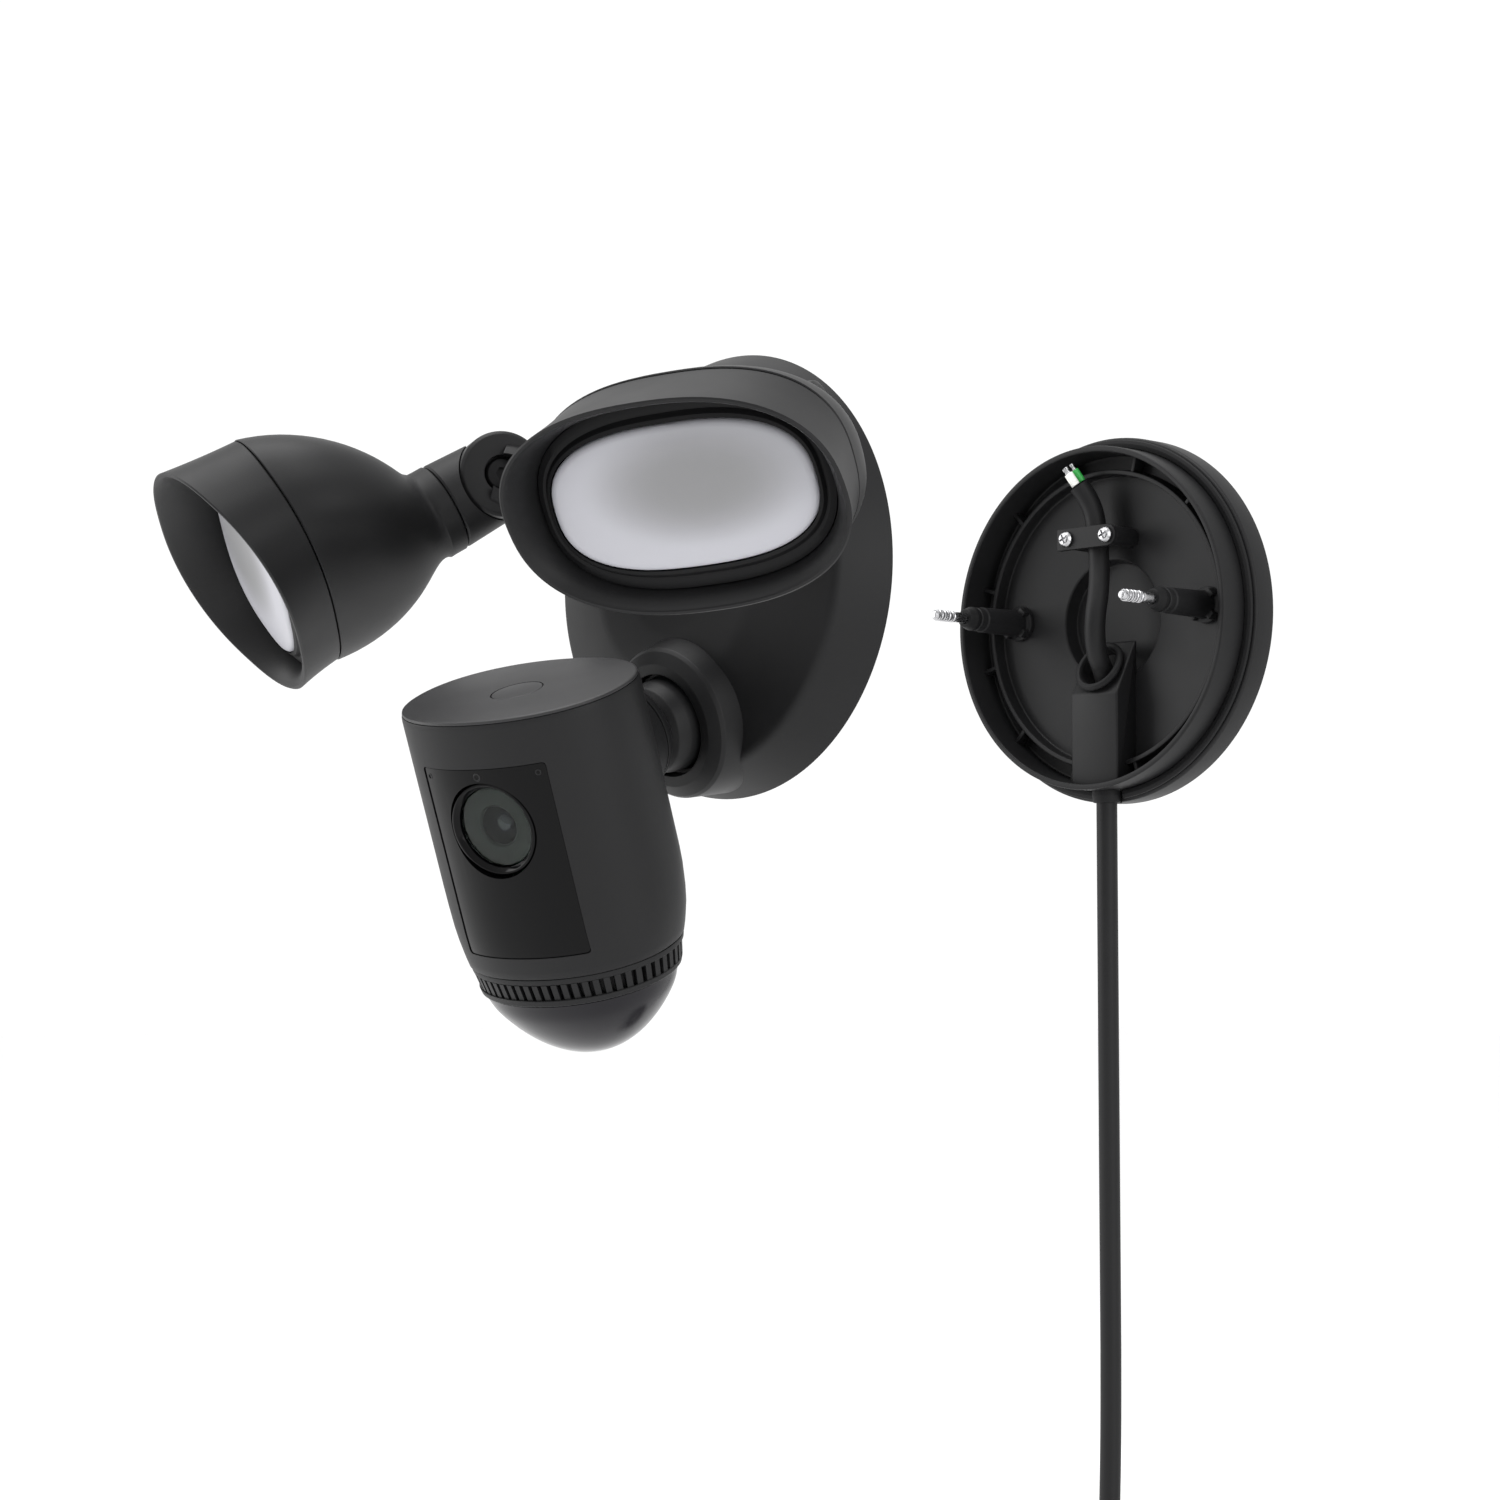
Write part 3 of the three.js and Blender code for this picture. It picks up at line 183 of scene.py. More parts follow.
def vary(nodes, links, noise, low, high, socket):
    """Leads a noise to a shader socket, spread between two values."""
    spread = nodes.new("ShaderNodeMapRange")
    spread.inputs["From Min"].default_value = 0.3
    spread.inputs["From Max"].default_value = 0.7
    spread.inputs["To Min"].default_value = low
    spread.inputs["To Max"].default_value = high
    links.new(noise.outputs["Fac"], spread.inputs["Value"])
    links.new(spread.outputs["Result"], socket)


def tint(nodes, links, noise, colour, spread, shader):
    """Lets the colour drift a little darker and lighter over the part."""
    ramp = nodes.new("ShaderNodeValToRGB")
    ramp.color_ramp.elements[0].position = 0.32
    ramp.color_ramp.elements[1].position = 0.68
    ramp.color_ramp.elements[0].color = (*(c * (1 - spread) for c in colour), 1)
    ramp.color_ramp.elements[1].color = (*(c * (1 + spread) for c in colour), 1)
    links.new(noise.outputs["Fac"], ramp.inputs["Fac"])
    links.new(ramp.outputs["Color"], shader.inputs["Base Color"])


def relief(nodes, links, height, depth, shader, strength=1.0):
    bump = nodes.new("ShaderNodeBump")
    bump.inputs["Strength"].default_value = strength
    bump.inputs["Distance"].default_value = depth * MM
    links.new(height, bump.inputs["Height"])
    links.new(bump.outputs["Normal"], shader.inputs["Normal"])


def moulded(name, colour, sheen, grain, depth, specular=0.5, drift=0.08, metal=0.0):
    """Plastic, rubber or cast metal: drifting colour and sheen over a fine grain."""
    material, nodes, links, shader = new_finish(name)
    shader.inputs["Specular IOR Level"].default_value = specular
    shader.inputs["Metallic"].default_value = metal
    broad = noise_at(nodes, links, 26)
    tint(nodes, links, broad, colour, drift, shader)
    vary(nodes, links, broad, sheen - 0.035, sheen + 0.035, shader.inputs["Roughness"])
    fine = noise_at(nodes, links, grain, 2.0)
    relief(nodes, links, fine.outputs["Fac"], depth, shader)
    return material


# %% Plastics, rubbers and metals
charcoal = moulded("moulded_charcoal", (0.008, 0.008, 0.0085), 0.48, 0.45, 0.02, 0.18)
charcoal_dark = moulded("moulded_dark", (0.005, 0.005, 0.0054), 0.55, 0.45, 0.02, 0.14)
satin_top = moulded("satin_cap", (0.022, 0.022, 0.023), 0.42, 0.3, 0.012, 0.25)
gloss_panel = moulded("gloss_panel", (0.0015, 0.0015, 0.0017), 0.13, 4.0, 0.002, 0.11, 0.03)
dome_gloss = moulded("sensor_dome_gloss", (0.005, 0.0045, 0.0065), 0.2, 3.0, 0.003, 0.2, 0.05)
rubber = moulded("rubber", (0.008, 0.008, 0.0085), 0.6, 0.6, 0.03, 0.16)
cord_jacket = moulded("cord_jacket", (0.009, 0.009, 0.0095), 0.52, 0.8, 0.03, 0.18)
wire_white = moulded("wire_white", (0.78, 0.78, 0.75), 0.42, 1.5, 0.01)
wire_green = moulded("wire_green", (0.03, 0.34, 0.06), 0.42, 1.5, 0.01)
nylon = moulded("nylon", (0.7, 0.7, 0.67), 0.45, 1.2, 0.01)
board = moulded("board_green", (0.015, 0.13, 0.05), 0.4, 2.0, 0.03)
steel = moulded("bright_steel", (0.42, 0.42, 0.43), 0.27, 0.25, 0.01, 0.5, 0.04, 1.0)
brass = moulded("contact_brass", (0.72, 0.52, 0.24), 0.28, 0.4, 0.01, 0.5, 0.05, 1.0)
aluminium = moulded("sink_aluminium", (0.55, 0.55, 0.56), 0.38, 0.6, 0.02, 0.5, 0.05, 1.0)
print("finishes", len(bpy.data.materials))


# %% Lamp diffuser and camera glass
def painted_shade_diffuser_finish():
    """Frosted lens with painted shading: darker in the middle, lighter and a touch cooler towards its rim.
    """
    material, nodes, links, shader = new_finish("frosted_lens_painted_shade")
    # The reach attribute drives painted shading: dark at its middle spot, light towards the rim.
    reach = nodes.new("ShaderNodeAttribute")
    reach.attribute_name = "reach"
    ramp = nodes.new("ShaderNodeValToRGB")
    ramp.color_ramp.interpolation = "EASE"
    ramp.color_ramp.elements[0].color = (0.19, 0.19, 0.195, 1)
    ramp.color_ramp.elements[1].color = (0.37, 0.37, 0.40, 1)
    ramp.color_ramp.elements[1].position = 0.9
    links.new(reach.outputs["Fac"], ramp.inputs["Fac"])
    links.new(ramp.outputs["Color"], shader.inputs["Base Color"])
    shader.inputs["Roughness"].default_value = 0.38
    shader.inputs["Subsurface Weight"].default_value = 0.15
    shader.inputs["Subsurface Radius"].default_value = (0.004, 0.004, 0.004)
    frost = noise_at(nodes, links, 0.5, 2.0)
    relief(nodes, links, frost.outputs["Fac"], 0.02, shader)
    return material


def clear_finish(name, colour, roughness):
    material, nodes, links, shader = new_finish(name)
    shader.inputs["Base Color"].default_value = (*colour, 1)
    shader.inputs["Transmission Weight"].default_value = 1.0
    shader.inputs["IOR"].default_value = 1.2
    haze = noise_at(nodes, links, 9.0)
    vary(nodes, links, haze, roughness, roughness + 0.03, shader.inputs["Roughness"])
    return material


frost_with_painted_shade = painted_shade_diffuser_finish()
window_glass = clear_finish("window_glass", (0.50, 0.55, 0.52), 0.02)
coated_glass = moulded("coated_element", (0.02, 0.018, 0.035), 0.06, 6.0, 0.001, 0.8, 0.2)
iris_grey = moulded("iris_grey", (0.024, 0.025, 0.024), 0.35, 0.8, 0.004, 0.4)
print("lamp and camera glass ready")

# %% [markdown]
# Almost every part here is a skin through a stack of equal rings: a turned part has round rings, a lamp
# head or the camera body has squared-off ovals. The helpers below make such skins, round an outline's
# corners, and keep each finished object at the origin with its place in its mesh.

# %% Shape helpers
ROUND = 112


def oval(half_width, half_height, power, count=ROUND):
    """Points round a squared-off ellipse, as (across, up)."""
    points = []
    for i in range(count):
        c, s = cos(2 * pi * i / count), sin(2 * pi * i / count)
        across = half_width * copysign(abs(c) ** (2 / power), c)
        points.append((across, half_height * copysign(abs(s) ** (2 / power), s)))
    return points


def rounded(outline, radius, steps=4, closed=True):
    """The outline with its corners turned; a point's third value is a radius of its own."""
    points = [Vector(point[:2]) for point in outline]
    result = []
    for i, corner in enumerate(points):
        own = outline[i][2] if len(outline[i]) > 2 else radius
        is_end = not closed and i in (0, len(points) - 1)
        to_last = points[i - 1] - corner
        to_next = points[(i + 1) % len(points)] - corner
        if own == 0 or is_end or to_last.angle(to_next) > pi - 0.03:
            result.append(corner)
            continue
        reach = min(own / tan(to_last.angle(to_next) / 2), 0.48 * to_last.length, 0.48 * to_next.length)
        start = corner + to_last.normalized() * reach
        end = corner + to_next.normalized() * reach
        for k in range(steps + 1):
            t = k / steps
            result.append(start * (1 - t) ** 2 + corner * 2 * t * (1 - t) + end * t**2)
    return result


def settle(shell, name, place=None):
    """A bmesh in millimetres becomes a named object in metres, faces out, sharp only at real edges."""
    bmesh.ops.remove_doubles(shell, verts=shell.verts, dist=1e-4)
    bmesh.ops.dissolve_degenerate(shell, edges=shell.edges, dist=1e-5)
    bmesh.ops.recalc_face_normals(shell, faces=shell.faces)
    mesh = bpy.data.meshes.new(name)
    shell.to_mesh(mesh)
    shell.free()
    mesh.transform(Matrix.Scale(MM, 4) @ (place or Matrix.Identity(4)))
    soften(mesh)
    made = bpy.data.objects.new(name, mesh)
    scene.collection.objects.link(made)
    return made


def soften(mesh, angle=30):
    mesh.shade_smooth()
    mesh.set_sharp_from_angle(angle=radians(angle))


def skin(name, rings, place=None, closed=False):
    """A surface through equal rings; closed joins the last to the first, else both ends are capped."""
    shell = bmesh.new()
    rows = [[shell.verts.new(point) for point in ring] for ring in rings]
    count = len(rows[0])
    pairs = list(zip(rows, rows[1:])) + ([(rows[-1], rows[0])] if closed else [])
    for near, far in pairs:
        for i in range(count):
            j = (i + 1) % count
            shell.faces.new((near[i], near[j], far[j], far[i]))
    if not closed:
        for row in (rows[0], rows[-1]):
            if (row[0].co - row[count // 2].co).length > 1e-3:
                shell.faces.new(row)
    return settle(shell, name, place)


def placed(origin, axis):
    """A frame at the origin given, its Z along the axis."""
    return Matrix.Translation(origin) @ Vector(axis).to_track_quat("Z", "Y").to_matrix().to_4x4()


def turned(name, outline, place, count=ROUND, closed=True):
    """An outline of (radius, height) turned about a frame's Z."""
    rings = []
    for radius, height in outline:
        rings.append([(radius * cos(2 * pi * i / count), radius * sin(2 * pi * i / count), height)
                      for i in range(count)])
    return skin(name, rings, place, closed)


def block(name, low, high, place=None, edge=0.0):
    """A box with rounded edges."""
    shell = bmesh.new()
    bmesh.ops.create_cube(shell, size=1)
    size, middle = Vector(high) - Vector(low), (Vector(high) + Vector(low)) / 2
    for corner in shell.verts:
        corner.co = Vector(a * b for a, b in zip(corner.co, size)) + middle
    if edge:
        bmesh.ops.bevel(shell, geom=shell.edges[:], offset=edge, segments=3, affect="EDGES", profile=0.5)
    return settle(shell, name, place)


def pushed(name, outline, low, high, place=None, edge=0.0):
    """A flat outline in X and Z, pushed through from y low to y high, with softened rims."""
    inset = [(low, edge), (low + edge, 0), (high - edge, 0), (high, edge)] if edge else [(low, 0), (high, 0)]
    middle = sum((Vector(point) for point in outline), Vector((0, 0))) / len(outline)
    rings = []
    for y, shrink in inset:
        ring = []
        for point in outline:
            inward = Vector(point) - middle
            moved = middle + inward * (1 - shrink / inward.length)
            ring.append((moved.x, y, moved.y))
        rings.append(ring)
    return skin(name, rings, place)


def evaluated(made):
    """The object with its modifiers worked in, as a plain mesh."""
    graph = bpy.context.evaluated_depsgraph_get()
    mesh = bpy.data.meshes.new_from_object(made.evaluated_get(graph))
    made.modifiers.clear()
    made.data = mesh
    return made


def combine(made, others, operation):
    """Joins or cuts with other solids, which are then removed."""
    for other in others:
        step = made.modifiers.new("step", "BOOLEAN")
        step.operation, step.object, step.solver = operation, other, "EXACT"
    evaluated(made)
    for other in others:
        bpy.data.objects.remove(other)
    soften(made.data)
    return made


def cut(made, *others):
    return combine(made, others, "DIFFERENCE")


def join(made, *others):
    return combine(made, others, "UNION")


def wear(made, material, body, slot, *nodes):
    """Gives a finished piece its finish, its body and the plain solids it stands for."""
    made.data.materials.clear()
    made.data.materials.append(material)
    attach(made, body)
    if nodes:
        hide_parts(*nodes)
    return made


print("ring count", ROUND)

# %% [markdown]
# Screws, ribs, snap tabs, grille bars and threads repeat, so Geometry Nodes set them out. One tree turns
# copies of a piece round an axis, one stands bars along a path, and one winds a thread. Each ends in
# Realize Instances and Set Material, and its result is baked to a plain mesh.


# %% Tree that sets copies round an axis
def start_tree(name, inputs):
    tree = bpy.data.node_groups.new(name, "GeometryNodeTree")
    tree.interface.new_socket("Geometry", in_out="INPUT", socket_type="NodeSocketGeometry")
    for title, kind in inputs:
        tree.interface.new_socket(title, in_out="INPUT", socket_type=kind)
    tree.interface.new_socket("Geometry", in_out="OUTPUT", socket_type="NodeSocketGeometry")
    return tree, tree.nodes.new("NodeGroupInput"), tree.nodes.new("NodeGroupOutput")


def finish_tree(tree, entry, exit_node, geometry):
    """Every tree ends alike: real copies with a material."""
    realize = tree.nodes.new("GeometryNodeRealizeInstances")
    dress = tree.nodes.new("GeometryNodeSetMaterial")
    tree.links.new(geometry, realize.inputs["Geometry"])
    tree.links.new(realize.outputs["Geometry"], dress.inputs["Geometry"])
    tree.links.new(entry.outputs["Finish"], dress.inputs["Material"])
    tree.links.new(dress.outputs["Geometry"], exit_node.inputs["Geometry"])
    return tree


def maths(tree, operation, first, second):
    node = tree.nodes.new("ShaderNodeMath")
    node.operation = operation
    for socket, value in zip(node.inputs, (first, second)):
        if isinstance(value, (int, float)):
            socket.default_value = value
        else:
            tree.links.new(value, socket)
    return node.outputs["Value"]


def ring_tree():
    tree, entry, exit_node = start_tree("copies_round_axis", (
        ("Copies", "NodeSocketInt"), ("First", "NodeSocketFloat"), ("Finish", "NodeSocketMaterial")))
    spots = tree.nodes.new("GeometryNodeMeshLine")
    spots.inputs["Offset"].default_value = (0, 0, 0)
    tree.links.new(entry.outputs["Copies"], spots.inputs["Count"])
    index = tree.nodes.new("GeometryNodeInputIndex")
    share = maths(tree, "DIVIDE", maths(tree, "ADD", index.outputs["Index"], entry.outputs["First"]),
                  entry.outputs["Copies"])
    spin = tree.nodes.new("ShaderNodeCombineXYZ")
    tree.links.new(maths(tree, "MULTIPLY", share, 2 * pi), spin.inputs["Z"])
    copies = tree.nodes.new("GeometryNodeInstanceOnPoints")
    tree.links.new(spots.outputs["Mesh"], copies.inputs["Points"])
    tree.links.new(entry.outputs["Geometry"], copies.inputs["Instance"])
    tree.links.new(spin.outputs["Vector"], copies.inputs["Rotation"])
    return finish_tree(tree, entry, exit_node, copies.outputs["Instances"])


def grow(made, tree, values, place=None):
    """Runs a tree on an object, then moves the plain result to its place."""
    step = made.modifiers.new("layout", "NODES")
    step.node_group = tree
    for item in tree.interface.items_tree:
        if item.in_out == "INPUT" and item.name in values:
            step[item.identifier] = values[item.name]
    evaluated(made)
    if place:
        scaled = place.copy()
        scaled.translation *= MM
        made.data.transform(scaled)
    return made


round_axis = ring_tree()
print("tree", round_axis.name, "nodes", len(round_axis.nodes))


# %% Tree that stands bars along a path
def bar_tree():
    tree, entry, exit_node = start_tree("bars_along_path", (
        ("Count", "NodeSocketInt"), ("Bar", "NodeSocketVector"), ("Lean", "NodeSocketFloat"),
        ("Finish", "NodeSocketMaterial")))
    path = tree.nodes.new("GeometryNodeMeshToCurve")
    tree.links.new(entry.outputs["Geometry"], path.inputs["Mesh"])
    spaced = tree.nodes.new("GeometryNodeResampleCurve")
    tree.links.new(path.outputs["Curve"], spaced.inputs["Curve"])
    tree.links.new(entry.outputs["Count"], spaced.inputs["Count"])
    upright = tree.nodes.new("GeometryNodeMeshCube")
    tree.links.new(entry.outputs["Bar"], upright.inputs["Size"])
    lean = tree.nodes.new("ShaderNodeCombineXYZ")
    tree.links.new(entry.outputs["Lean"], lean.inputs["X"])
    leaning = tree.nodes.new("GeometryNodeTransform")
    tree.links.new(upright.outputs["Mesh"], leaning.inputs["Geometry"])
    tree.links.new(lean.outputs["Vector"], leaning.inputs["Rotation"])
    along = tree.nodes.new("GeometryNodeInputTangent")
    aim = tree.nodes.new("FunctionNodeAlignEulerToVector")
    aim.axis, aim.pivot_axis = "X", "Z"
    tree.links.new(along.outputs["Tangent"], aim.inputs["Vector"])
    copies = tree.nodes.new("GeometryNodeInstanceOnPoints")
    tree.links.new(spaced.outputs["Curve"], copies.inputs["Points"])
    tree.links.new(leaning.outputs["Geometry"], copies.inputs["Instance"])
    tree.links.new(aim.outputs["Rotation"], copies.inputs["Rotation"])
    return finish_tree(tree, entry, exit_node, copies.outputs["Instances"])


bars_along = bar_tree()
print("tree", bars_along.name, "nodes", len(bars_along.nodes))


# %% Tree that winds a screw thread
def thread_tree():
    tree, entry, exit_node = start_tree("screw_thread", (
        ("Turns", "NodeSocketFloat"), ("Radius", "NodeSocketFloat"), ("Length", "NodeSocketFloat"),
        ("Crest", "NodeSocketFloat"), ("Finish", "NodeSocketMaterial")))
    helix = tree.nodes.new("GeometryNodeCurveSpiral")
    helix.inputs["Resolution"].default_value = 32
    tree.links.new(entry.outputs["Turns"], helix.inputs["Rotations"])
    tree.links.new(entry.outputs["Radius"], helix.inputs["Start Radius"])
    tree.links.new(entry.outputs["Radius"], helix.inputs["End Radius"])
    tree.links.new(entry.outputs["Length"], helix.inputs["Height"])
    crest = tree.nodes.new("GeometryNodeCurvePrimitiveCircle")
    crest.inputs["Resolution"].default_value = 5
    tree.links.new(entry.outputs["Crest"], crest.inputs["Radius"])
    sweep = tree.nodes.new("GeometryNodeCurveToMesh")
    sweep.inputs["Fill Caps"].default_value = True
    tree.links.new(helix.outputs["Curve"], sweep.inputs["Curve"])
    tree.links.new(crest.outputs["Curve"], sweep.inputs["Profile Curve"])
    return finish_tree(tree, entry, exit_node, sweep.outputs["Mesh"])


wound_thread = thread_tree()
print("tree", wound_thread.name, "nodes", len(wound_thread.nodes))

# %% [markdown]
# The wall plate is a moulded dish: a flange against the wall, a tall thin rim in front of it, an inner
# rim, and ribs that brace the two. It is turned as one outline with softened corners, then opened where
# the cord runs. Its outline is written as radius and distance forward from the wall.

# %% Plate dish and its ribs
facing = placed((0, 0, 0), (0, -1, 0))
FLANGE_R, RIM_R, INNER_RIM_R = 66, 61.7, 54
CHANNEL_TOP, SLOPE_END = -27, -8
CHANNEL_FRONT, FLOOR = 19, 8.5


def channel_solid(name, half, back, front, bottom, drop, edge=0.0):
    """The cord's channel from the side: upright, then sloping back to the floor."""
    side = [(-back, bottom), (-front, bottom), (-front, CHANNEL_TOP - drop), (-FLOOR, SLOPE_END - drop),
            (-back, SLOPE_END - drop)]
    shell = bmesh.new()
    near = [shell.verts.new((-half, y, z)) for y, z in side]
    far = [shell.verts.new((half, y, z)) for y, z in side]
    shell.faces.new(near)
    shell.faces.new(far)
    for i in range(len(side)):
        j = (i + 1) % len(side)
        shell.faces.new((near[i], near[j], far[j], far[i]))
    bmesh.ops.recalc_face_normals(shell, faces=shell.faces)
    if edge:
        bmesh.ops.bevel(shell, geom=shell.edges[:], offset=edge, segments=3, affect="EDGES", profile=0.5)
    return settle(shell, name)


slope_rise, slope_run = SLOPE_END - CHANNEL_TOP, CHANNEL_FRONT - FLOOR
slope_length = sqrt(slope_rise**2 + slope_run**2)
slope_out = Vector((0, -slope_rise, slope_run)) / slope_length
hole_centre = Vector((0, -14.2, -18))
lead_hole = placed(hole_centre, slope_out)
cord_mouth = placed((0, CORD_Y, -70), (0, 0, 1))
HOLE_R = 8.6


def hollow_tools():
    hollow = channel_solid("tool", 8.7, 4.5, 17.8, -60.8, 2)
    mouth = turned("tool", [(0, 0), (5.6, 0), (5.6, 13), (0, 13)], cord_mouth, 64, False)
    return hollow, mouth


dish = turned("plate_dish", rounded([
    (0, 0, 0), (24.5, 0), (24.5, 5.5), (62.5, 5.5), (62.5, 0), (FLANGE_R, 0, 1), (FLANGE_R, 10, 1.2),
    (RIM_R, 10, 0.3), (RIM_R, 22.7, 0.7), (RIM_R - 2.1, 22.7, 0.7), (RIM_R - 2.1, 8.5, 0.8),
    (INNER_RIM_R, 8.5, 0.5), (INNER_RIM_R, 14), (INNER_RIM_R - 1.8, 14), (INNER_RIM_R - 1.8, 8.5, 0.8),
    (22, 8.5, 0.8), (21, 3, 0.8), (0, 3, 0)], 0.5, closed=False), facing, 160, False)
wear(cut(dish, *hollow_tools()), charcoal, "wall_mount", "housing_charcoal", "wall_plate")

FRONT_RIBS, BACK_RIBS = 12, 8
front_rib = block("plate_front_ribs", (53.6, -0.7, 8.2), (60, 0.7, 13.6), edge=0.25)
grow(front_rib, round_axis, {"Copies": FRONT_RIBS, "First": 0.5, "Finish": charcoal}, facing)
wear(front_rib, charcoal, "wall_mount", "housing_charcoal")
back_rib = block("plate_back_ribs", (24, -0.8, 1), (62.8, 0.8, 5.9), edge=0.25)
grow(back_rib, round_axis, {"Copies": BACK_RIBS, "First": 0.5, "Finish": charcoal}, facing)
wear(back_rib, charcoal, "wall_mount", "housing_charcoal")
print("dish faces", len(dish.data.polygons))

# %% Cord channel, grommet and gasket
channel = channel_solid("cord_channel", 10.7, 7.5, CHANNEL_FRONT, -60.6, 0, 0.7)
bore = turned("tool", [(0, -6), (HOLE_R, -6), (HOLE_R, 8), (0, 8)], lead_hole, 96, False)
wear(cut(channel, *hollow_tools(), bore), charcoal, "wall_mount", "housing_charcoal", "wall_plate")
grommet = turned("lead_grommet_ring", rounded([
    (HOLE_R - 1.1, -2.4), (HOLE_R - 0.2, -2.4), (HOLE_R - 0.2, 1.1), (10.0, 1.1, 0.6), (10.2, 2.1, 1.2),
    (9.2, 3.1, 1.2), (HOLE_R - 0.6, 3.0, 1), (HOLE_R - 1.1, 1.8, 1)], 0.3), lead_hole)
wear(grommet, rubber, "wall_mount", "rubber_black", "lead_grommet")
gasket = turned("rim_gasket_ring", rounded([
    (62.0, 10.3), (65, 10.3, 0.6), (65, 11.6, 0.6), (63.6, 11.9, 0.4), (62.0, 11.6)], 0.2), facing, 160)
notch = block("tool", (-7, -14, -70), (7, -8, -58))
wear(cut(gasket, notch), rubber, "wall_mount", "rubber_black", "rim_gasket")
print("channel faces", len(channel.data.polygons))

# %% [markdown]
# The lead inside the plate is a round flex clamped by a small bar with two cross-head screws, and it
# ends in three crimped conductors. The lead is a tube swept along its curve.


# %% Inner lead and its terminals
def tube(name, path, radius, sides=28):
    """A round tube along a dense path, with its section carried along without twist."""
    side = Vector((1, 0, 0))
    rings = []
    for i, place in enumerate(path):
        ahead = (path[min(i + 1, len(path) - 1)] - path[max(i - 1, 0)]).normalized()
        side = (side - ahead * side.dot(ahead)).normalized()
        other = ahead.cross(side)
        rings.append([place + (side * cos(2 * pi * k / sides) + other * sin(2 * pi * k / sides)) * radius
                      for k in range(sides)])
    return skin(name, rings)


CLAMP_Z = 29
LEAD_ROUTE = [Vector(point) for point in (
    (0, CORD_Y, -63.7), (0, CORD_Y, -48), (0, CORD_Y, -36), (0, -12.1, -28), (0, -12.4, -22.5),
    (0.2, -14.4, -17.6), (0.9, -17.9, -12.8), (2, -20.4, -6), (2.8, -20.9, 1), (2.8, -19.3, 9),
    (1.6, -17.3, 18), (0, -16.3, CLAMP_Z), (-1.5, -16.4, 38), (-3.4, -17.7, 44), (-5.4, -20, 48.6))]
LEAD_R = 3.72
inner_lead = tube("inner_lead_tube", smooth_route(LEAD_ROUTE, 8), LEAD_R)
wear(inner_lead, cord_jacket, "wall_mount", "cord_black", "inner_lead")

lead_end = LEAD_ROUTE[-1]
lead_aim = (lead_end - LEAD_ROUTE[-2]).normalized()
sideways = lead_aim.cross(Vector((0, 0, 1))).normalized()
for number, (node, sleeve_finish) in enumerate(
        (("terminal_live", wire_white), ("terminal_neutral", wire_white), ("terminal_earth", wire_green))):
    offset = Matrix.Rotation(2 * pi * number / 3 + pi / 6, 3, lead_aim) @ sideways
    stand = placed(lead_end + lead_aim * 0.5 + offset * 1.85, lead_aim)
    sleeve = turned(node + "_sleeve", rounded([(0, 0, 0), (1.3, 0), (1.3, 5), (0, 5, 0)], 0.3, closed=False),
                    stand, 32, False)
    slot_name = "wire_green" if sleeve_finish is wire_green else "wire_white"
    wear(sleeve, sleeve_finish, "wall_mount", slot_name, node)
    ferrule = turned(node + "_ferrule", rounded([
        (0, 4.6, 0), (0.75, 4.6), (0.75, 5.4), (0.6, 5.6), (0.6, 6.2), (0.8, 6.4), (0.8, 7.4), (0, 7.5, 0)],
        0.15, closed=False), stand, 24, False)
    wear(ferrule, steel, "wall_mount", "screw_steel")
print("lead points", len(LEAD_ROUTE))


# %% Clamp bar, posts and cross-head screws
def slot_outline(half_length, radius, steps=20):
    ends = ((half_length, -pi / 2), (-half_length, pi / 2))
    return [(x + radius * cos(a0 + pi * k / steps), radius * sin(a0 + pi * k / steps))
            for x, a0 in ends for k in range(steps + 1)]


SCREW_X = 9.2
clamp_frame = Matrix.Translation((0, 0, CLAMP_Z))
strap = pushed("clamp_strap", slot_outline(SCREW_X, 3.9), -22.6, -20.4, clamp_frame, 0.35)
heel = block("tool", (-SCREW_X - 4.6, -22.6, -3.9), (-SCREW_X + 0.5, -20.4, 3.9), clamp_frame, 0.35)
wear(join(strap, heel), charcoal, "wall_mount", "housing_charcoal", "clamp_bar")


def cross_head(name, radius, height, place):
    """A pan head with a cross recess."""
    head = turned(name, rounded([
        (0, 0, 0), (radius, 0, 0.1), (radius, height * 0.35, 0.5), (radius * 0.72, height, 0.9),
        (0, height * 1.06, 0)], 0.3, closed=False), place, 64, False)
    arms = [block("tool", (-w, -h, height * 0.42), (w, h, height * 2), place)
            for w, h in ((radius * 0.6, radius * 0.14), (radius * 0.14, radius * 0.6))]
    return cut(head, *arms)


for side, x in (("left", -SCREW_X), ("right", SCREW_X)):
    post_outline = rounded([(0, 6, 0), (3.6, 8), (3.4, 20.1), (0, 20.1, 0)], 0.3, closed=False)
    post_frame = placed((x, 0, CLAMP_Z), (0, -1, 0))
    post = turned(f"clamp_post_{side}", post_outline, post_frame, 64, False)
    wear(post, charcoal, "wall_mount", "housing_charcoal")
    on_bar = placed((x, -22.75, CLAMP_Z), (0, -1, 0)) @ Matrix.Rotation(radians(22), 4, "Z")
    wear(cross_head(f"clamp_screw_head_{side}", 2.9, 1.9, on_bar), steel, "wall_mount", "screw_steel",
         f"clamp_screw_{side}")
print("clamp screws at", -SCREW_X, "and", SCREW_X, "mm")

# %% [markdown]
# Each stud is a steel screw in a moulded sleeve that snaps into the floor. The sleeve's four snap tabs
# are copies round its axis, and the thread is wound by its tree on a plain rod.

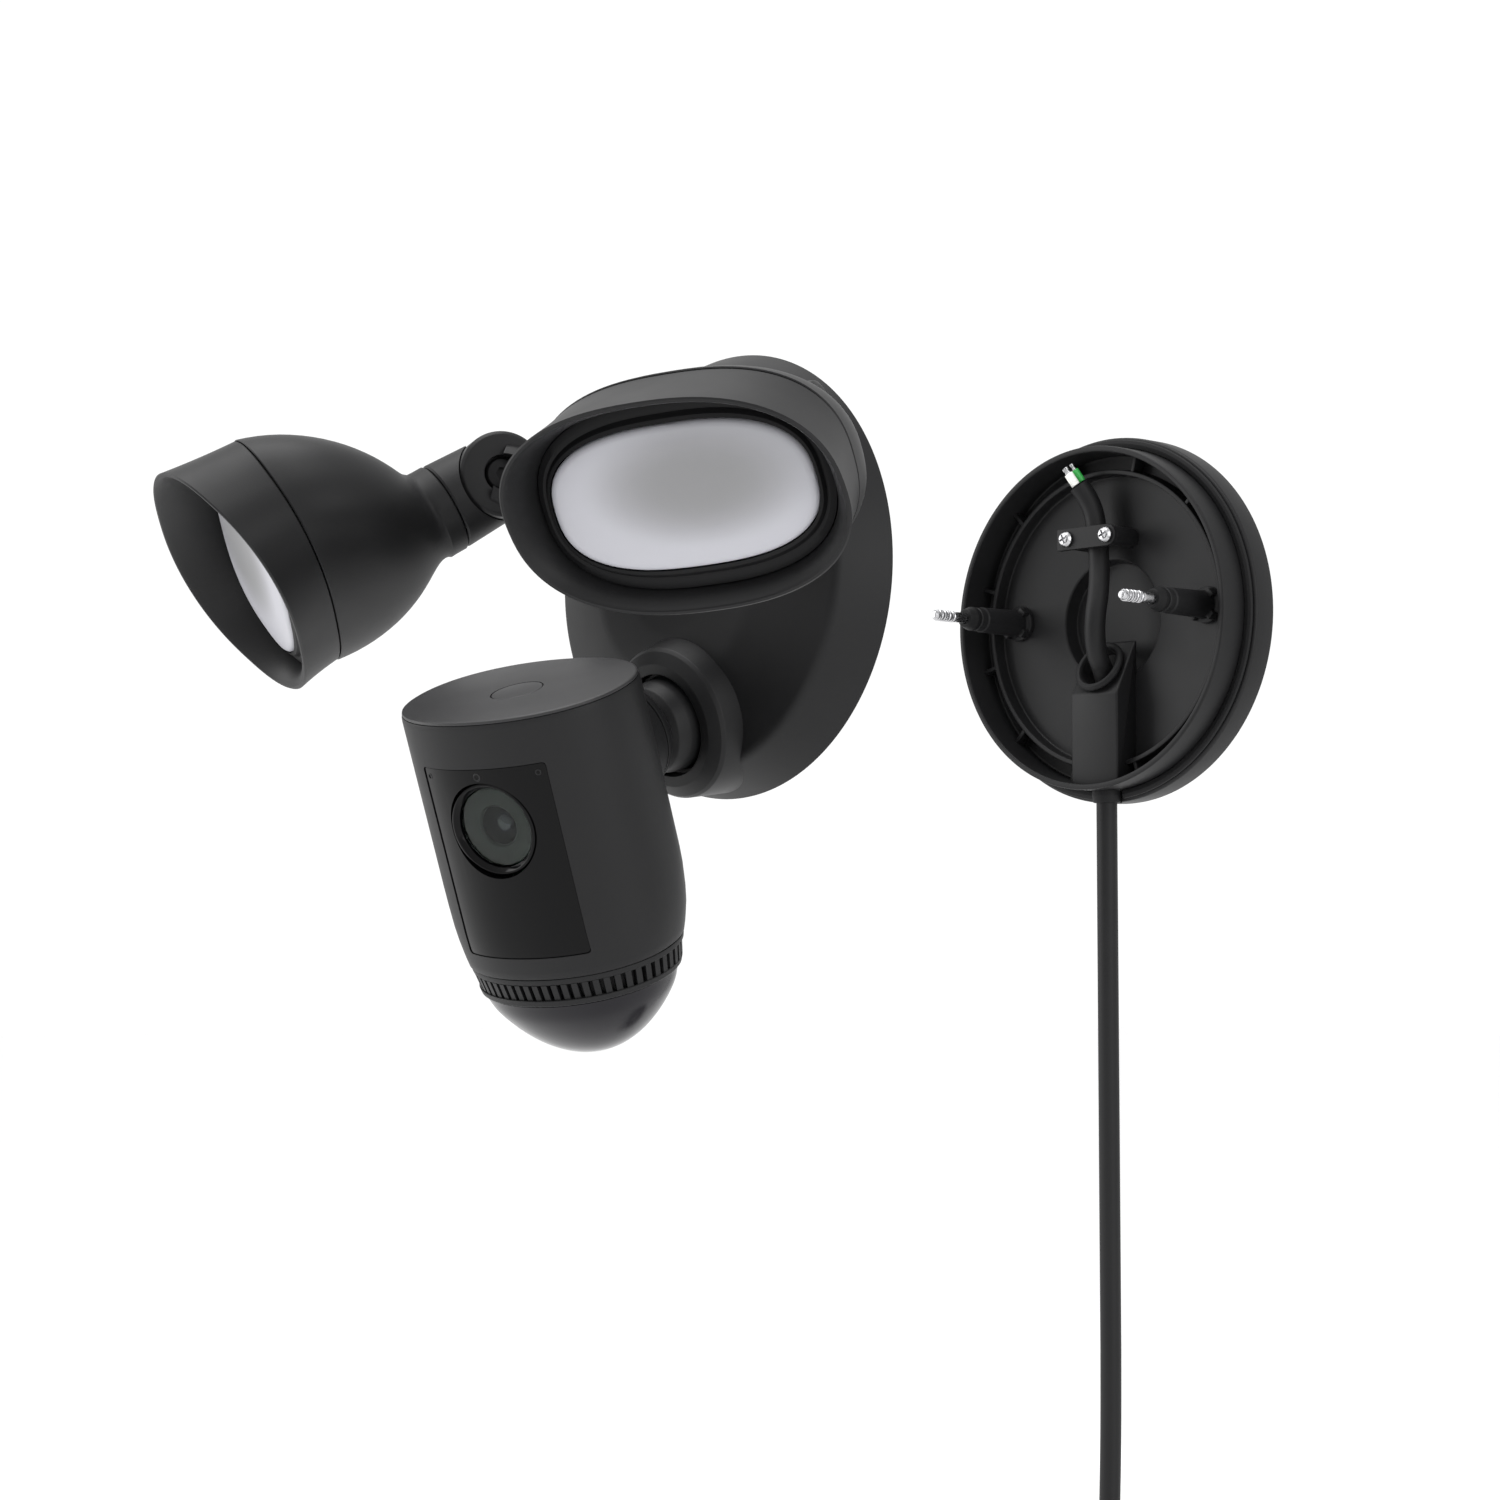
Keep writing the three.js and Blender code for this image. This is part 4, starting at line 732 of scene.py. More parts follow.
# %% Studs, sleeves and threads
STUD_X, STUD_Z, STUD_TIP = 43.7, 2, 56
for side, x in (("left", -STUD_X), ("right", STUD_X)):
    stand = placed((x, 0, STUD_Z), (0, -1, 0))
    sleeve = turned(f"stud_sleeve_{side}_skin", rounded([
        (2.4, 8.8), (6.6, 8.8), (6.4, 10.2, 0.5), (4.9, 10.9, 0.8), (4.6, 30.5, 0.2), (4.3, 31.2),
        (4.3, 34.3, 0.6), (2.4, 34.3)], 0.3), stand, 72)
    wear(sleeve, charcoal, "wall_mount", "housing_charcoal", f"stud_sleeve_{side}")
    tabs = block(f"stud_tabs_{side}", (4.4, -1.5, 8.9), (6.4, 1.5, 13), edge=0.25)
    grow(tabs, round_axis, {"Copies": 4, "First": 0.5, "Finish": charcoal}, stand)
    wear(tabs, charcoal, "wall_mount", "housing_charcoal")
    collar = turned(f"stud_collar_{side}", rounded([
        (1.8, 34.6), (4.4, 34.6), (4.3, 36.4), (3.5, 38.6), (3.2, 39.5), (1.8, 39.5)], 0.5), stand, 64)
    wear(collar, charcoal_dark, "wall_mount", "housing_charcoal")
    rod = turned(f"stud_rod_{side}", rounded([
        (0, 12, 0), (1.9, 12), (1.9, 44.6, 0.1), (1.75, 45.4, 0.2), (1.75, STUD_TIP - 1.4),
        (1.3, STUD_TIP, 0.5), (0, STUD_TIP, 0)], 0.2, closed=False), stand, 56, False)
    wear(rod, steel, "wall_mount", "screw_steel", f"stud_{side}")
    thread = block(f"stud_thread_{side}", (0, 0, 0), (1, 1, 1))
    start = stand @ Matrix.Translation((0, 0, 45.6))
    grow(thread, wound_thread, {"Turns": 11.0, "Radius": 1.78 * MM, "Length": 9.0 * MM, "Crest": 0.34 * MM,
                                "Finish": steel}, start)
    soften(thread.data, 60)
    wear(thread, steel, "wall_mount", "screw_steel")
print("stud reach", STUD_TIP, "mm")

# %% [markdown]
# The mains cord is one tube along its route, from the plate to the plug. Its own pieces are a ribbed
# strain relief in the plate's mouth, a soft strap round the coil, and a moulded earthed plug.

# %% Mains cord
mains_cord = tube("mains_cord", route, CORD_D / 2, 20)
wear(mains_cord, cord_jacket, "wall_mount", "cord_black", "power_cord", "cord_coil")
print("cord faces", len(mains_cord.data.polygons))

# %% Strain relief, coil strap and plug
relief_outline = [(4.1, 0), (4.8, 0, 0.4)]
for groove in range(5):
    base = 2.6 + groove * 3.6
    relief_outline += [(5.2, base), (5.2, base + 1.8), (4.7, base + 2.1), (4.7, base + 3.3)]
relief_outline += [(4.4, 23.8), (4.1, 23.8)]
bushing = turned("strain_relief", rounded(relief_outline, 0.25), placed((0, CORD_Y, -66), (0, 0, 1)), 64)
wear(bushing, rubber, "wall_mount", "rubber_black", "cord_bushing")

RADIAL, AXIAL, STRAP = 20.4, 15.9, 1.15
coil_spot = (Matrix.Translation((0, COIL_Y, COIL_Z)) @ Matrix.Rotation(radians(50), 4, "Y")
             @ Matrix.Translation((0, 0, 46)))
across_strap = rounded([(-5, 0), (5, 0), (5, STRAP), (-5, STRAP)], 0.4)
strap_rings = []
for width, out in across_strap:
    loop = oval(AXIAL + out, RADIAL + out, 6, 96)
    strap_rings.append([(width, y, z) for y, z in loop])
coil_strap = skin("coil_strap", strap_rings, coil_spot, True)
buckle = block("tool", (-6, -4, RADIAL - 0.6), (6, 4, RADIAL + 1.25), coil_spot, 0.5)
wear(join(coil_strap, buckle), rubber, "wall_mount", "rubber_black", "coil_tie")

plug_place = Matrix.Translation((PLUG_X, PLUG_Y, PLUG_TOP))
plug_sections = [(0.0, 4.2, 4.2, 2)]
for groove in range(4):
    down = 1.5 + groove * 3
    plug_sections += [(down, 4.4 + groove * 0.25, 4.4 + groove * 0.25, 2),
                      (down + 1.6, 4.7 + groove * 0.25, 4.7 + groove * 0.25, 2),
                      (down + 1.9, 4.2 + groove * 0.2, 4.2 + groove * 0.2, 2)]
plug_sections += [
    (14.2, 5.6, 5.6, 2), (14.9, 8.4, 7.6, 2.4), (16.5, 10.6, 9.2, 2.6), (20, 12.4, 10.4, 2.6),
    (22, 12.5, 10.5, 2.6), (22.6, 11.9, 9.9, 2.6), (24, 11.9, 9.9, 2.6), (24.6, 12.6, 10.6, 2.6),
    (26, 12.7, 10.6, 2.6), (26.6, 12.1, 10.0, 2.6), (28, 12.1, 10.0, 2.6), (28.6, 12.8, 10.8, 2.6),
    (34.4, 13, 11, 2.6), (35.5, 12.7, 10.7, 2.6), (36, 12, 10, 2.6)]
plug_rings = [[(x, y, -down) for x, y in oval(w, d, power, 72)] for down, w, d, power in plug_sections]
plug = skin("plug_shell", plug_rings, plug_place)
wear(plug, rubber, "wall_mount", "rubber_black", "plug_body")
BLADE_TOP = PLUG_TOP - 36.2
for node, side in (("plug_blade_live", -6.35), ("plug_blade_neutral", 6.35)):
    x = PLUG_X + side
    low, high = (x - 0.75, PLUG_Y - 5.2, BLADE_TOP - 15.5), (x + 0.75, PLUG_Y + 1.2, BLADE_TOP)
    blade = block(node + "_contact", low, high, edge=0.35)
    eye = turned("tool", [(0, -5), (1.5, -5), (1.5, 5), (0, 5)],
                 placed((x, PLUG_Y - 2, BLADE_TOP - 11.5), (1, 0, 0)), 32, False)
    wear(cut(blade, eye), brass, "wall_mount", "contact_brass", node)
pin_outline = rounded([(0, 0, 0), (2.4, 0), (2.4, 15.5, 2), (1.4, 19, 1.2), (0, 19.2, 0)], 0.3, closed=False)
pin_frame = placed((PLUG_X, PLUG_Y + 6, BLADE_TOP), (0, 0, -1))
pin = turned("plug_earth_contact", pin_outline, pin_frame, 40, False)
wear(pin, brass, "wall_mount", "contact_brass", "plug_earth_pin")

# %% [markdown]
# The fixture's base is a round shell like a shallow bowl, with a soft crease near its rim. Collars stand
# out of it for the arms, the studs and the camera's stem. Each collar is turned about its own axis.

# %% Base housing and its collars
BASE_Y = -196.3
BALL = Vector((0, -248.7, -56.2))
BOSS_TILT = radians(17.2)
boss_frame = placed(BALL, (0, -cos(BOSS_TILT), -sin(BOSS_TILT)))
base_frame = placed((0, BASE_Y, 0), (0, -1, 0))
PIVOT = Vector((66.6, -240.4, 34.4))
HEAD_YAW, HEAD_PITCH = radians(27.3), radians(31)
HEAD_ROLL = {"left": radians(28), "right": radians(5.5)}
SIDES = {"left": -1, "right": 1}


def arm_frames(side):
    """Frames of one arm: its socket (Z along the arm), its knuckle's axis, and its lamp head."""
    sign = SIDES[side]
    pivot = Vector((sign * PIVOT.x, PIVOT.y, PIVOT.z))
    outward = Vector((cos(HEAD_YAW), sign * sin(HEAD_YAW), 0)) * sign
    root = Vector((sign * 35, BASE_Y - 19, 23))
    reach = pivot - outward * 6.65 - root
    tilted = (Matrix.Translation(pivot) @ Matrix.Rotation(sign * HEAD_YAW, 4, "Z")
              @ Matrix.Rotation(HEAD_PITCH, 4, "X"))
    return sign, placed(root, reach), reach.length, placed(pivot, outward), tilted


def plug_tool(place, radius, low, high):
    return turned("tool", [(0, low), (radius, low), (radius, high), (0, high)], place, 72, False)


shell_outline = rounded([
    (0, 28, 0), (20, 27.4, 30), (36, 25.5, 30), (63.9, 17, 5), (71.4, 0, 0.5), (69, 0, 0.5), (61.7, 15.2, 5),
    (35.6, 23, 20), (0, 25.5, 0)], 1, steps=7, closed=False)
base_shell = turned("base_shell", shell_outline, base_frame, 176, False)
openings = [plug_tool(boss_frame, 17, -60, -10)]
for side in SIDES:
    sign, socket, *_ = arm_frames(side)
    openings.append(plug_tool(socket, 12.5, -20, 30))
    openings.append(plug_tool(placed((sign * STUD_X, BASE_Y, STUD_Z), (0, -1, 0)), 6.4, -5, 40))
wear(cut(base_shell, *openings), charcoal, "fixture", "housing_charcoal", "base_housing")

stem_collar = turned("stem_collar", rounded([
    (27.1, -43.3), (24.3, -26.8, 0.9), (23.4, -25.6, 0.6), (19.8, -23.4, 0.8), (16.4, -23.4), (16.4, -27.8),
    (7.3, -27.8), (7.3, -39.5), (10, -39.5), (10, -33), (22, -33), (25, -43.3)], 0.4), boss_frame)
wear(stem_collar, charcoal, "fixture", "housing_charcoal")
for side in SIDES:
    sign, socket, *_ = arm_frames(side)
    arm_collar = turned(f"arm_collar_{side}", rounded([
        (17.2, -7), (14.5, 10.9, 0.9), (12.05, 10.9, 0.5), (12.05, 7), (7.3, 7), (7.3, -8), (9.6, -8),
        (9.6, -1), (13, -1), (14.4, -7)], 0.3), socket)
    wear(arm_collar, charcoal, "fixture", "housing_charcoal")
    stud_collar = turned(f"stud_socket_{side}", rounded([
        (8.2, 18), (8, 24), (7.5, 25.9, 0.8), (5.7, 25.9, 0.4), (5.7, 16), (8, 16)], 0.3),
        placed((sign * STUD_X, BASE_Y, STUD_Z), (0, -1, 0)), 72)
    wear(stud_collar, charcoal, "fixture", "housing_charcoal")
print("base shell faces", len(base_shell.data.polygons))

# %% [markdown]
# Each arm is a round tube that swivels in its collar and ends in half of a knuckle. The other half
# belongs to the lamp head's neck. Both halves are turned about the knuckle's axis, then trimmed where
# they pass each other, so a dark seam runs between them.

# %% Arms and knuckles
for side in SIDES:
    sign, socket, reach, knuckle_axis, tilted = arm_frames(side)
    arm_outline = rounded([
        (0, -8.6, 0), (7, -8.6), (7, 7.3, 0.2), (11.4, 7.3, 0.4), (11.6, 12), (11.6, reach), (0, reach, 0)],
        0.4, closed=False)
    arm = turned(f"{side}_arm_tube", arm_outline, socket, 80, False)
    half_outline = rounded([
        (0, -12.2, 0), (6, -12.2, 0.2), (6.1, -13, 0.3), (12.8, -13, 1.1), (14, -11.9, 0.8),
        (14, -0.15, 0.3), (0, -0.15, 0)], 0.3, closed=False)
    half = turned("tool", half_outline, knuckle_axis, 96, False)
    passing = plug_tool(knuckle_axis, 18.2, -0.15, 27)
    recess = plug_tool(knuckle_axis, 6, -22, -10)
    wear(cut(join(arm, half), passing, recess), charcoal, f"{side}_arm", "housing_charcoal", f"{side}_arm")

    bolt = turned(f"{side}_knuckle_bolt_head", rounded([
        (0, -12.4, 0), (2.4, -12.6, 0.1), (4.8, -12.4, 0.5), (5.6, -10.6, 0.4), (5.5, -9.9), (0, -9.9, 0)],
        0.2, closed=False), knuckle_axis, 64, False)
    socket_tool = turned("tool", [(0, -14), (2.3, -14), (2.3, -11), (0, -11)], knuckle_axis, 6, False)
    wear(cut(bolt, socket_tool), charcoal_dark, f"{side}_arm", "bolt_black", f"{side}_knuckle_bolt")

    lug = turned(f"{side}_knuckle_lug", rounded([
        (0, 0.15, 0), (14, 0.15, 0.3), (14, 11.9, 0.8), (12.8, 13, 1.1), (0, 13, 0)], 0.3, closed=False),
        tilted @ placed((0, 0, 0), (sign, 0, 0)), 96, False)
    neck_outline = rounded([
        (0, 3, 0), (14.1, 3), (14.8, 18.4, 0.2), (14.4, 19.15, 0.3), (0, 19.15, 0)], 0.3, closed=False)
    neck = turned("tool", neck_outline, tilted @ placed((0, 0, 0), (0, -1, 0)), 96, False)
    passing = plug_tool(tilted @ placed((0, 0, 0), (-sign, 0, 0)), 14.4, -0.15, 20)
    wear(cut(join(lug, neck), passing), charcoal, f"{side}_knuckle", "housing_charcoal", f"{side}_knuckle")
    print(side, "arm reach", round(reach, 1), "mm")

# %% [markdown]
# A lamp head is a stack of squared-off ovals. The rear bowl narrows into a round neck in one flowing
# surface; the hood flares forward and is cut on a slope, longer above than below; a stepped bezel holds
# the frosted lens. Every ring is written as half width, half height, squareness, depth and rise.

# %% Lamp head sections
LENS_Y, LENS_RISE = -83.9, 14
SEAM_Y = LENS_Y + 13.5
RIM_Y, RIM_SLOPE = LENS_Y - 7.5, 0.2
SEAM_W, SEAM_H = 46.6, 31.4
LENS_W, LENS_H = 38.75, 21.15
REAR_LENGTH, NECK_Y = 45, -19.5


def head_ring(half_width, half_height, power, y, rise=LENS_RISE, slope=0.0):
    return [(x, y - slope * z, z + rise) for x, z in oval(half_width, half_height, power)]


def bowl_ring(y, inset):
    """The rear bowl at one depth: an elliptical fall-off merged with the neck's cone."""
    u = min(max((y - SEAM_Y) / REAR_LENGTH, 0), 1)
    size = sqrt(1 - u * u)
    behind = max(y - SEAM_Y, 0)
    neck = 15 + 7.5 * max(0, 1 - behind / 46) ** 1.2
    wide = (max(SEAM_W * size, 0) ** 7 + neck**7) ** (1 / 7) - inset
    high = (max(SEAM_H * size, 0) ** 7 + neck**7) ** (1 / 7) - inset
    return head_ring(wide, high, 2.5 - 0.5 * u, y, LENS_RISE * (1 - u) ** 0.75 if u < 1 else 0)


def rear_rings():
    """Outer skin from seam to neck, the neck's bore, and back along the inner skin."""
    depths = [SEAM_Y + REAR_LENGTH * sin(step / 22 * pi / 2) for step in range(23)]
    depths += [-23.5, -21.5, NECK_Y - 0.5, NECK_Y]
    outer = [bowl_ring(y, 0) for y in depths]
    outer[-1] = bowl_ring(NECK_Y, 0.5)
    outer[0] = bowl_ring(SEAM_Y, 0.35)
    outer.insert(1, bowl_ring(SEAM_Y + 0.35, 0))
    bore = [head_ring(5, 5, 2, y, 0) for y in (NECK_Y, -28)]
    inner = [bowl_ring(y, 2.4) for y in reversed(depths[:13])]
    return outer + bore + inner


def quadratic(low, middle, high, t):
    return low * (1 - t) * (1 - 2 * t) + 4 * middle * t * (1 - t) + high * t * (2 * t - 1)


def hood_rings():
    """Up the outer skin, over the chamfered lip, and down the inner skin."""
    start_y, middle_y = SEAM_Y - 0.3, (SEAM_Y + RIM_Y) / 2
    rings = [head_ring(SEAM_W - 0.35, SEAM_H - 0.35, 2.5, start_y)]
    for step in range(15):
        t = 0.02 + 0.98 * step / 14
        wide, high = quadratic(46.6, 47.8, 49.7, t), quadratic(31.4, 32.4, 33.9, t)
        depth = quadratic(start_y, middle_y, RIM_Y, t)
        rings.append(head_ring(wide, high, 2.5 - 0.12 * t, depth, slope=RIM_SLOPE * t))
    rings.append(head_ring(49.25, 33.45, 2.38, RIM_Y - 0.45, slope=RIM_SLOPE))
    rings.append(head_ring(48.5, 32.7, 2.38, RIM_Y - 0.45, slope=RIM_SLOPE))
    for step in range(11):
        t = step / 10
        wide, high = quadratic(48.1, 45.4, 43.6, t), quadratic(32.3, 29.9, 28.4, t)
        depth = quadratic(RIM_Y, -86.8, -80.9, t)
        rings.append(head_ring(wide, high, 2.38 + 0.07 * t, depth, slope=RIM_SLOPE * (1 - t)))
    rings.append(head_ring(43.2, 28, 2.5, SEAM_Y + 0.8))
    return rings


bezel_steps = [(-3.9, 0.4), (-3.6, 9.9), (-4.1, 10.6), (-6.0, 10.4), (-6.4, 11.6), (-7.0, 11.9)]


def bezel_rings():
    """From the hood's wall inwards by two steps to the lens's edge, then back behind it."""
    rings = []
    for k, (inset, forward) in enumerate(bezel_steps):
        share = k / (len(bezel_steps) - 1)
        opening_w, opening_h = LENS_W + 0.35, LENS_H + 0.35
        wide = (SEAM_W - 3.6) * (1 - share) + opening_w * share if k > 1 else SEAM_W + inset
        high = (SEAM_H - 3.6) * (1 - share) + opening_h * share if k > 1 else SEAM_H + inset
        rings.append(head_ring(wide, high, 2.5 + 0.12 * share, SEAM_Y - forward))
    rings.append(head_ring(LENS_W + 0.3, LENS_H + 0.3, 2.62, SEAM_Y - 11.4))
    rings.append(head_ring(LENS_W + 0.3, LENS_H + 0.3, 2.62, SEAM_Y + 0.6))
    return rings


def lens_rings():
    """A crowned lens, from its back edge to its middle."""
    rings = [head_ring(LENS_W, LENS_H, 2.62, LENS_Y + 6.5), head_ring(LENS_W, LENS_H, 2.62, LENS_Y + 2.2)]
    for wide, high, forward in ((0.25, 0.25, 1.5), (0.9, 0.9, 0.95), (2.2, 2, 0.62), (5, 4.4, 0.38)):
        rings.append(head_ring(LENS_W - wide, LENS_H - high, 2.6, LENS_Y + forward))
    for share in (0.75, 0.6, 0.45, 0.3, 0.15, 0.03):
        power, depth = 2.5 - 0.4 * (1 - share), LENS_Y + 0.3 * share**2
        rings.append(head_ring(LENS_W * share, LENS_H * share, power, depth))
    return rings


print("lens", 2 * LENS_W, "x", 2 * LENS_H, "mm")

# %% Build both lamp heads
for side in SIDES:
    *_, tilted = arm_frames(side)
    head_frame = tilted @ Matrix.Rotation(-HEAD_ROLL[side], 4, "Y")
    body = f"{side}_head"
    for name, rings, finish, node in (("bowl", rear_rings(), charcoal, "rear_shell"),
                                      ("hood_skin", hood_rings(), charcoal, "hood"),
                                      ("bezel_skin", bezel_rings(), charcoal_dark, "bezel")):
        shell = skin(f"{side}_{name}", rings, head_frame, True)
        wear(shell, finish, body, "housing_charcoal", f"{side}_{node}")
    diffuser = skin(f"{side}_diffuser", lens_rings(), head_frame)
    wear(diffuser, frost_with_painted_shade, body, "diffuser_white", f"{side}_lens")
    # Painted shading: reach is 0 at a spot set off the lens's middle and grows to 1 at its rim, where the
    # lens is painted lightest.
    to_head = head_frame.inverted() @ Matrix.Scale(1 / MM, 4)
    reach = diffuser.data.attributes.new("reach", "FLOAT", "POINT")
    for spot, vertex in zip(reach.data, diffuser.data.vertices):
        local = to_head @ vertex.co
        spot.value = min(1, ((local.x - 6) / LENS_W) ** 2 + ((local.z - LENS_RISE - 4) / LENS_H) ** 2)
    print(side, "head made of", len(rear_rings()) + len(hood_rings()), "rings")

# %% [markdown]
# The camera hangs from a ball joint: a stem turns in the base's collar, and the camera's socket grips
# the stem's ball through a nylon liner. The stem is one turned outline that ends in the ball's arc.

# %% Ball stem
def ball_arc(radius, first, last, steps=24):
    """Points on a ball's outline; 0 degrees is its front pole."""
    return [(radius * sin(radians(first + (last - first) * k / steps)),
             radius * cos(radians(first + (last - first) * k / steps))) for k in range(steps + 1)]


BALL_R = 14
stem_outline = [tuple(point) for point in rounded([
    (0, -40, 0), (7, -40), (7, -27.6), (15.4, -27.6, 0.3), (14.6, -21.5, 0.3), (13.6, -17.3, 1.5),
    (9.2, -13.4, 2.5), (7.2, -12.4, 0.6), (7.2, -11.9, 0)], 0.4, closed=False)]
stem = turned("ball_stem", stem_outline + ball_arc(BALL_R, 149, 0), boss_frame, 96, False)
wear(stem, charcoal, "camera_stem", "housing_charcoal", "camera_ball_stem")

CAMERA_YAW, CAMERA_PITCH = radians(14.6), radians(23.2)
camera_turn = Matrix.Rotation(CAMERA_YAW, 4, "Z") @ Matrix.Rotation(CAMERA_PITCH, 4, "X")
ball_in_camera = Vector((0, 38.2, -31.2))
camera_frame = Matrix.Translation(BALL - camera_turn @ ball_in_camera) @ camera_turn
socket_frame = camera_frame @ placed(ball_in_camera, (0, 1, 0))
liner_outline = ball_arc(BALL_R + 0.25, 91, 140, 14) + ball_arc(16.3, 137, 91, 14)
wear(turned("ball_liner", liner_outline, socket_frame, 80), nylon, "camera_liner", "liner_nylon",
     "socket_liner")
cup_outline = [(10.2, -13.4), (19.2, -12.2), (18.9, 0), (18.5, 4.3), (18.0, 4.85), (17.3, 4.85), (17.2, 0.6)]
cup = turned("socket_cup", cup_outline + ball_arc(16.75, 92, 142, 12), socket_frame, 96)
wear(cup, charcoal, "camera", "housing_charcoal")
collar_outline = rounded([
    (13.4, 5.25), (18.4, 5.25), (17.9, 8, 0.5), (16.7, 10.2, 0.7), (15.5, 10.2, 0.5)], 0.3)
socket_collar = turned("socket_collar", collar_outline, socket_frame, 96)
wear(socket_collar, charcoal, "camera", "housing_charcoal", "socket_ring")
print("ball", 2 * BALL_R, "mm across")

# %% [markdown]
# The camera body is an upright oval barrel that narrows to a slotted grille and a smooth sensor dome.
# Its front is a glossy panel set into a window with a hairline gap all round, made by cutting the same
# thick skin twice: once to leave the window, once to keep only what fits inside it.

# %% Camera body and front panel
BODY_W, BODY_D = 37.8, 29.7
SIDE_SECTIONS = ((0.992, 1.2, 0), (0.998, 1.8, 0), (1, 3, 0), (1, 20, 0), (1, 40, 0), (1, 56, 0),
                 (0.997, 61, 0.1), (0.985, 68, 0.5), (0.97, 72.4, 0.8), (0.95, 76, 1.2), (0.934, 78.6, 1.5),
                 (0.918, 80.7, 1.8), (0.912, 81, 1.8))
DOME_APEX = 114.3


def body_ring(size, down, inset=0.0, power=2.15, shift=0.0):
    return [(x, y - shift, -down) for x, y in oval(BODY_W * size - inset, BODY_D * size - inset, power)]


def body_skin(name, outside, inside, top, bottom):
    """The barrel's wall between two insets, cut off square at top and bottom."""
    middle = [(size, down, shift) for size, down, shift in SIDE_SECTIONS if top < down < bottom]
    sections = [(0.992, top, 0), *middle, (0.912, bottom, 1.8)]
    outer = [body_ring(size, down, outside, 2.15, shift) for size, down, shift in sections]
    inner = [body_ring(size, down, inside, 2.15, shift) for size, down, shift in reversed(sections)]
    return skin(name, outer + inner, camera_frame, True)


def panel_box(grow_by):
    return block("tool", (-22 - grow_by, -60, -74.1 - grow_by), (22 + grow_by, -10, -14.4 + grow_by),
                 camera_frame, 1.1)


barrel = body_skin("camera_barrel", 0, 2.2, 1.2, 81)
back_opening = plug_tool(socket_frame, 16.5, -20, 0)
wear(cut(barrel, panel_box(0), back_opening), charcoal, "camera", "housing_charcoal", "camera_shell")
LENS_DOWN = 33.7
lens_frame = camera_frame @ placed((0, 0, -LENS_DOWN), (0, -1, 0))
panel = body_skin("front_panel_skin", 0.3, 2.4, 1.2, 81)
window_frame = combine(panel, [panel_box(-0.28)], "INTERSECT")
front_panel = cut(window_frame, plug_tool(lens_frame, 14.9, 5, 50))
wear(front_panel, gloss_panel, "camera", "panel_gloss", "front_panel")
print("barrel", 2 * BODY_W, "x", 2 * BODY_D, "mm")

# %% Lens, status light and panel pinholes
ring_shape = rounded([(12.3, 24.4), (12.3, 26.7, 0.4), (13.5, 28.15, 0.5), (14.3, 27.9, 0.4), (14.5, 27.2),
                      (14.5, 24.4)], 0.2)
wear(turned("lens_surround", ring_shape, lens_frame), gloss_panel, "camera", "panel_gloss", "lens_ring")
cover = turned("lens_cover", rounded([
    (0, 25.5, 0), (12.0, 25.3), (12.0, 26.1, 0.3), (7, 26.45, 6), (0, 26.6, 0)], 0.15, closed=False),
    lens_frame, 96, False)
wear(cover, window_glass, "camera", "lens_glass", "lens_window")
mask = turned("lens_mask", rounded([
    (12.0, 24.2), (12.0, 24.9), (6.6, 24.9, 0.2), (6.0, 24.3, 0.2), (6.0, 23.6)], 0.1), lens_frame)
wear(mask, iris_grey, "camera", "panel_gloss")
iris = turned("lens_iris", rounded([
    (7.2, 9), (9.4, 17), (9.4, 23.5), (5.9, 23.9), (5.2, 23.2), (5.0, 22.6), (4.1, 22.6), (3.6, 21.6),
    (3.2, 21.4), (3.2, 9)], 0.12), lens_frame)
wear(iris, gloss_panel, "camera", "panel_gloss", "lens_barrel")
element = turned("lens_element", [(0, 20.0), (3.1, 20.0)] + [
    (3.1 * cos(radians(a)), 21.4 + 1.7 * sin(radians(a))) for a in range(0, 91, 9)], lens_frame, 64, False)
wear(element, coated_glass, "camera", "lens_glass")
for name, across, down, size in (("status_light", 0, 16.9, 0.75), ("pinhole_left", -19.4, 17.2, 0.55),
                                 ("pinhole_right", 19.4, 17.2, 0.55)):
    surface = BODY_D * (1 - (abs(across) / BODY_W) ** 2.15) ** (1 / 2.15) - 0.3
    spot = camera_frame @ placed((across, -surface, -down), (across * 0.6 / BODY_W, -1, 0))
    dimple = turned(name, rounded([(size, -0.5), (size, 0.1), (size * 1.45, 0.16), (size * 1.7, 0.05),
                                   (size * 1.7, -0.5)], 0.05), spot, 32)
    wear(dimple, charcoal, "camera", "housing_charcoal")
print("lens pieces 5")

# %% Top cap and button
cap_rings = [body_ring(*section) for section in (
    (0.992, 4.5, 2.5), (0.992, 1.1, 2.5), (0.992, 1.0, 0.12), (0.992, 0.75, 0.05), (0.985, 0.25),
    (0.977, 0.06), (0.965, 0))]
cap = skin("cap_skin", cap_rings, camera_frame)
button_frame = camera_frame @ placed((0, -1, 0), (0, 0, 1))
wear(cut(cap, plug_tool(button_frame, 8.1, -8, 3)), satin_top, "camera", "top_satin", "top_cap")
button = turned("button_disc", rounded([
    (0, -2.8, 0), (9.4, -2.8), (9.4, -1.7), (7.85, -1.7), (7.85, 0, 0.35), (0, 0, 0)], 0.1, closed=False),
    button_frame, 96, False)
wear(button, satin_top, "button", "top_satin", "setup_button")
well_outline = rounded([(9.9, -4.4), (9.9, -3.2), (8.0, -3.2), (8.0, -4.4)], 0.1)
well = turned("button_well", well_outline, button_frame)
wear(well, charcoal_dark, "camera", "housing_charcoal")
print("button", 2 * 7.8, "mm across")

# %% [markdown]
# The grille is two rails with a row of slim bars between them. The bars follow the oval, so the tree
# spaces them along a path and turns each to face outwards; a dark drum behind them closes the view.

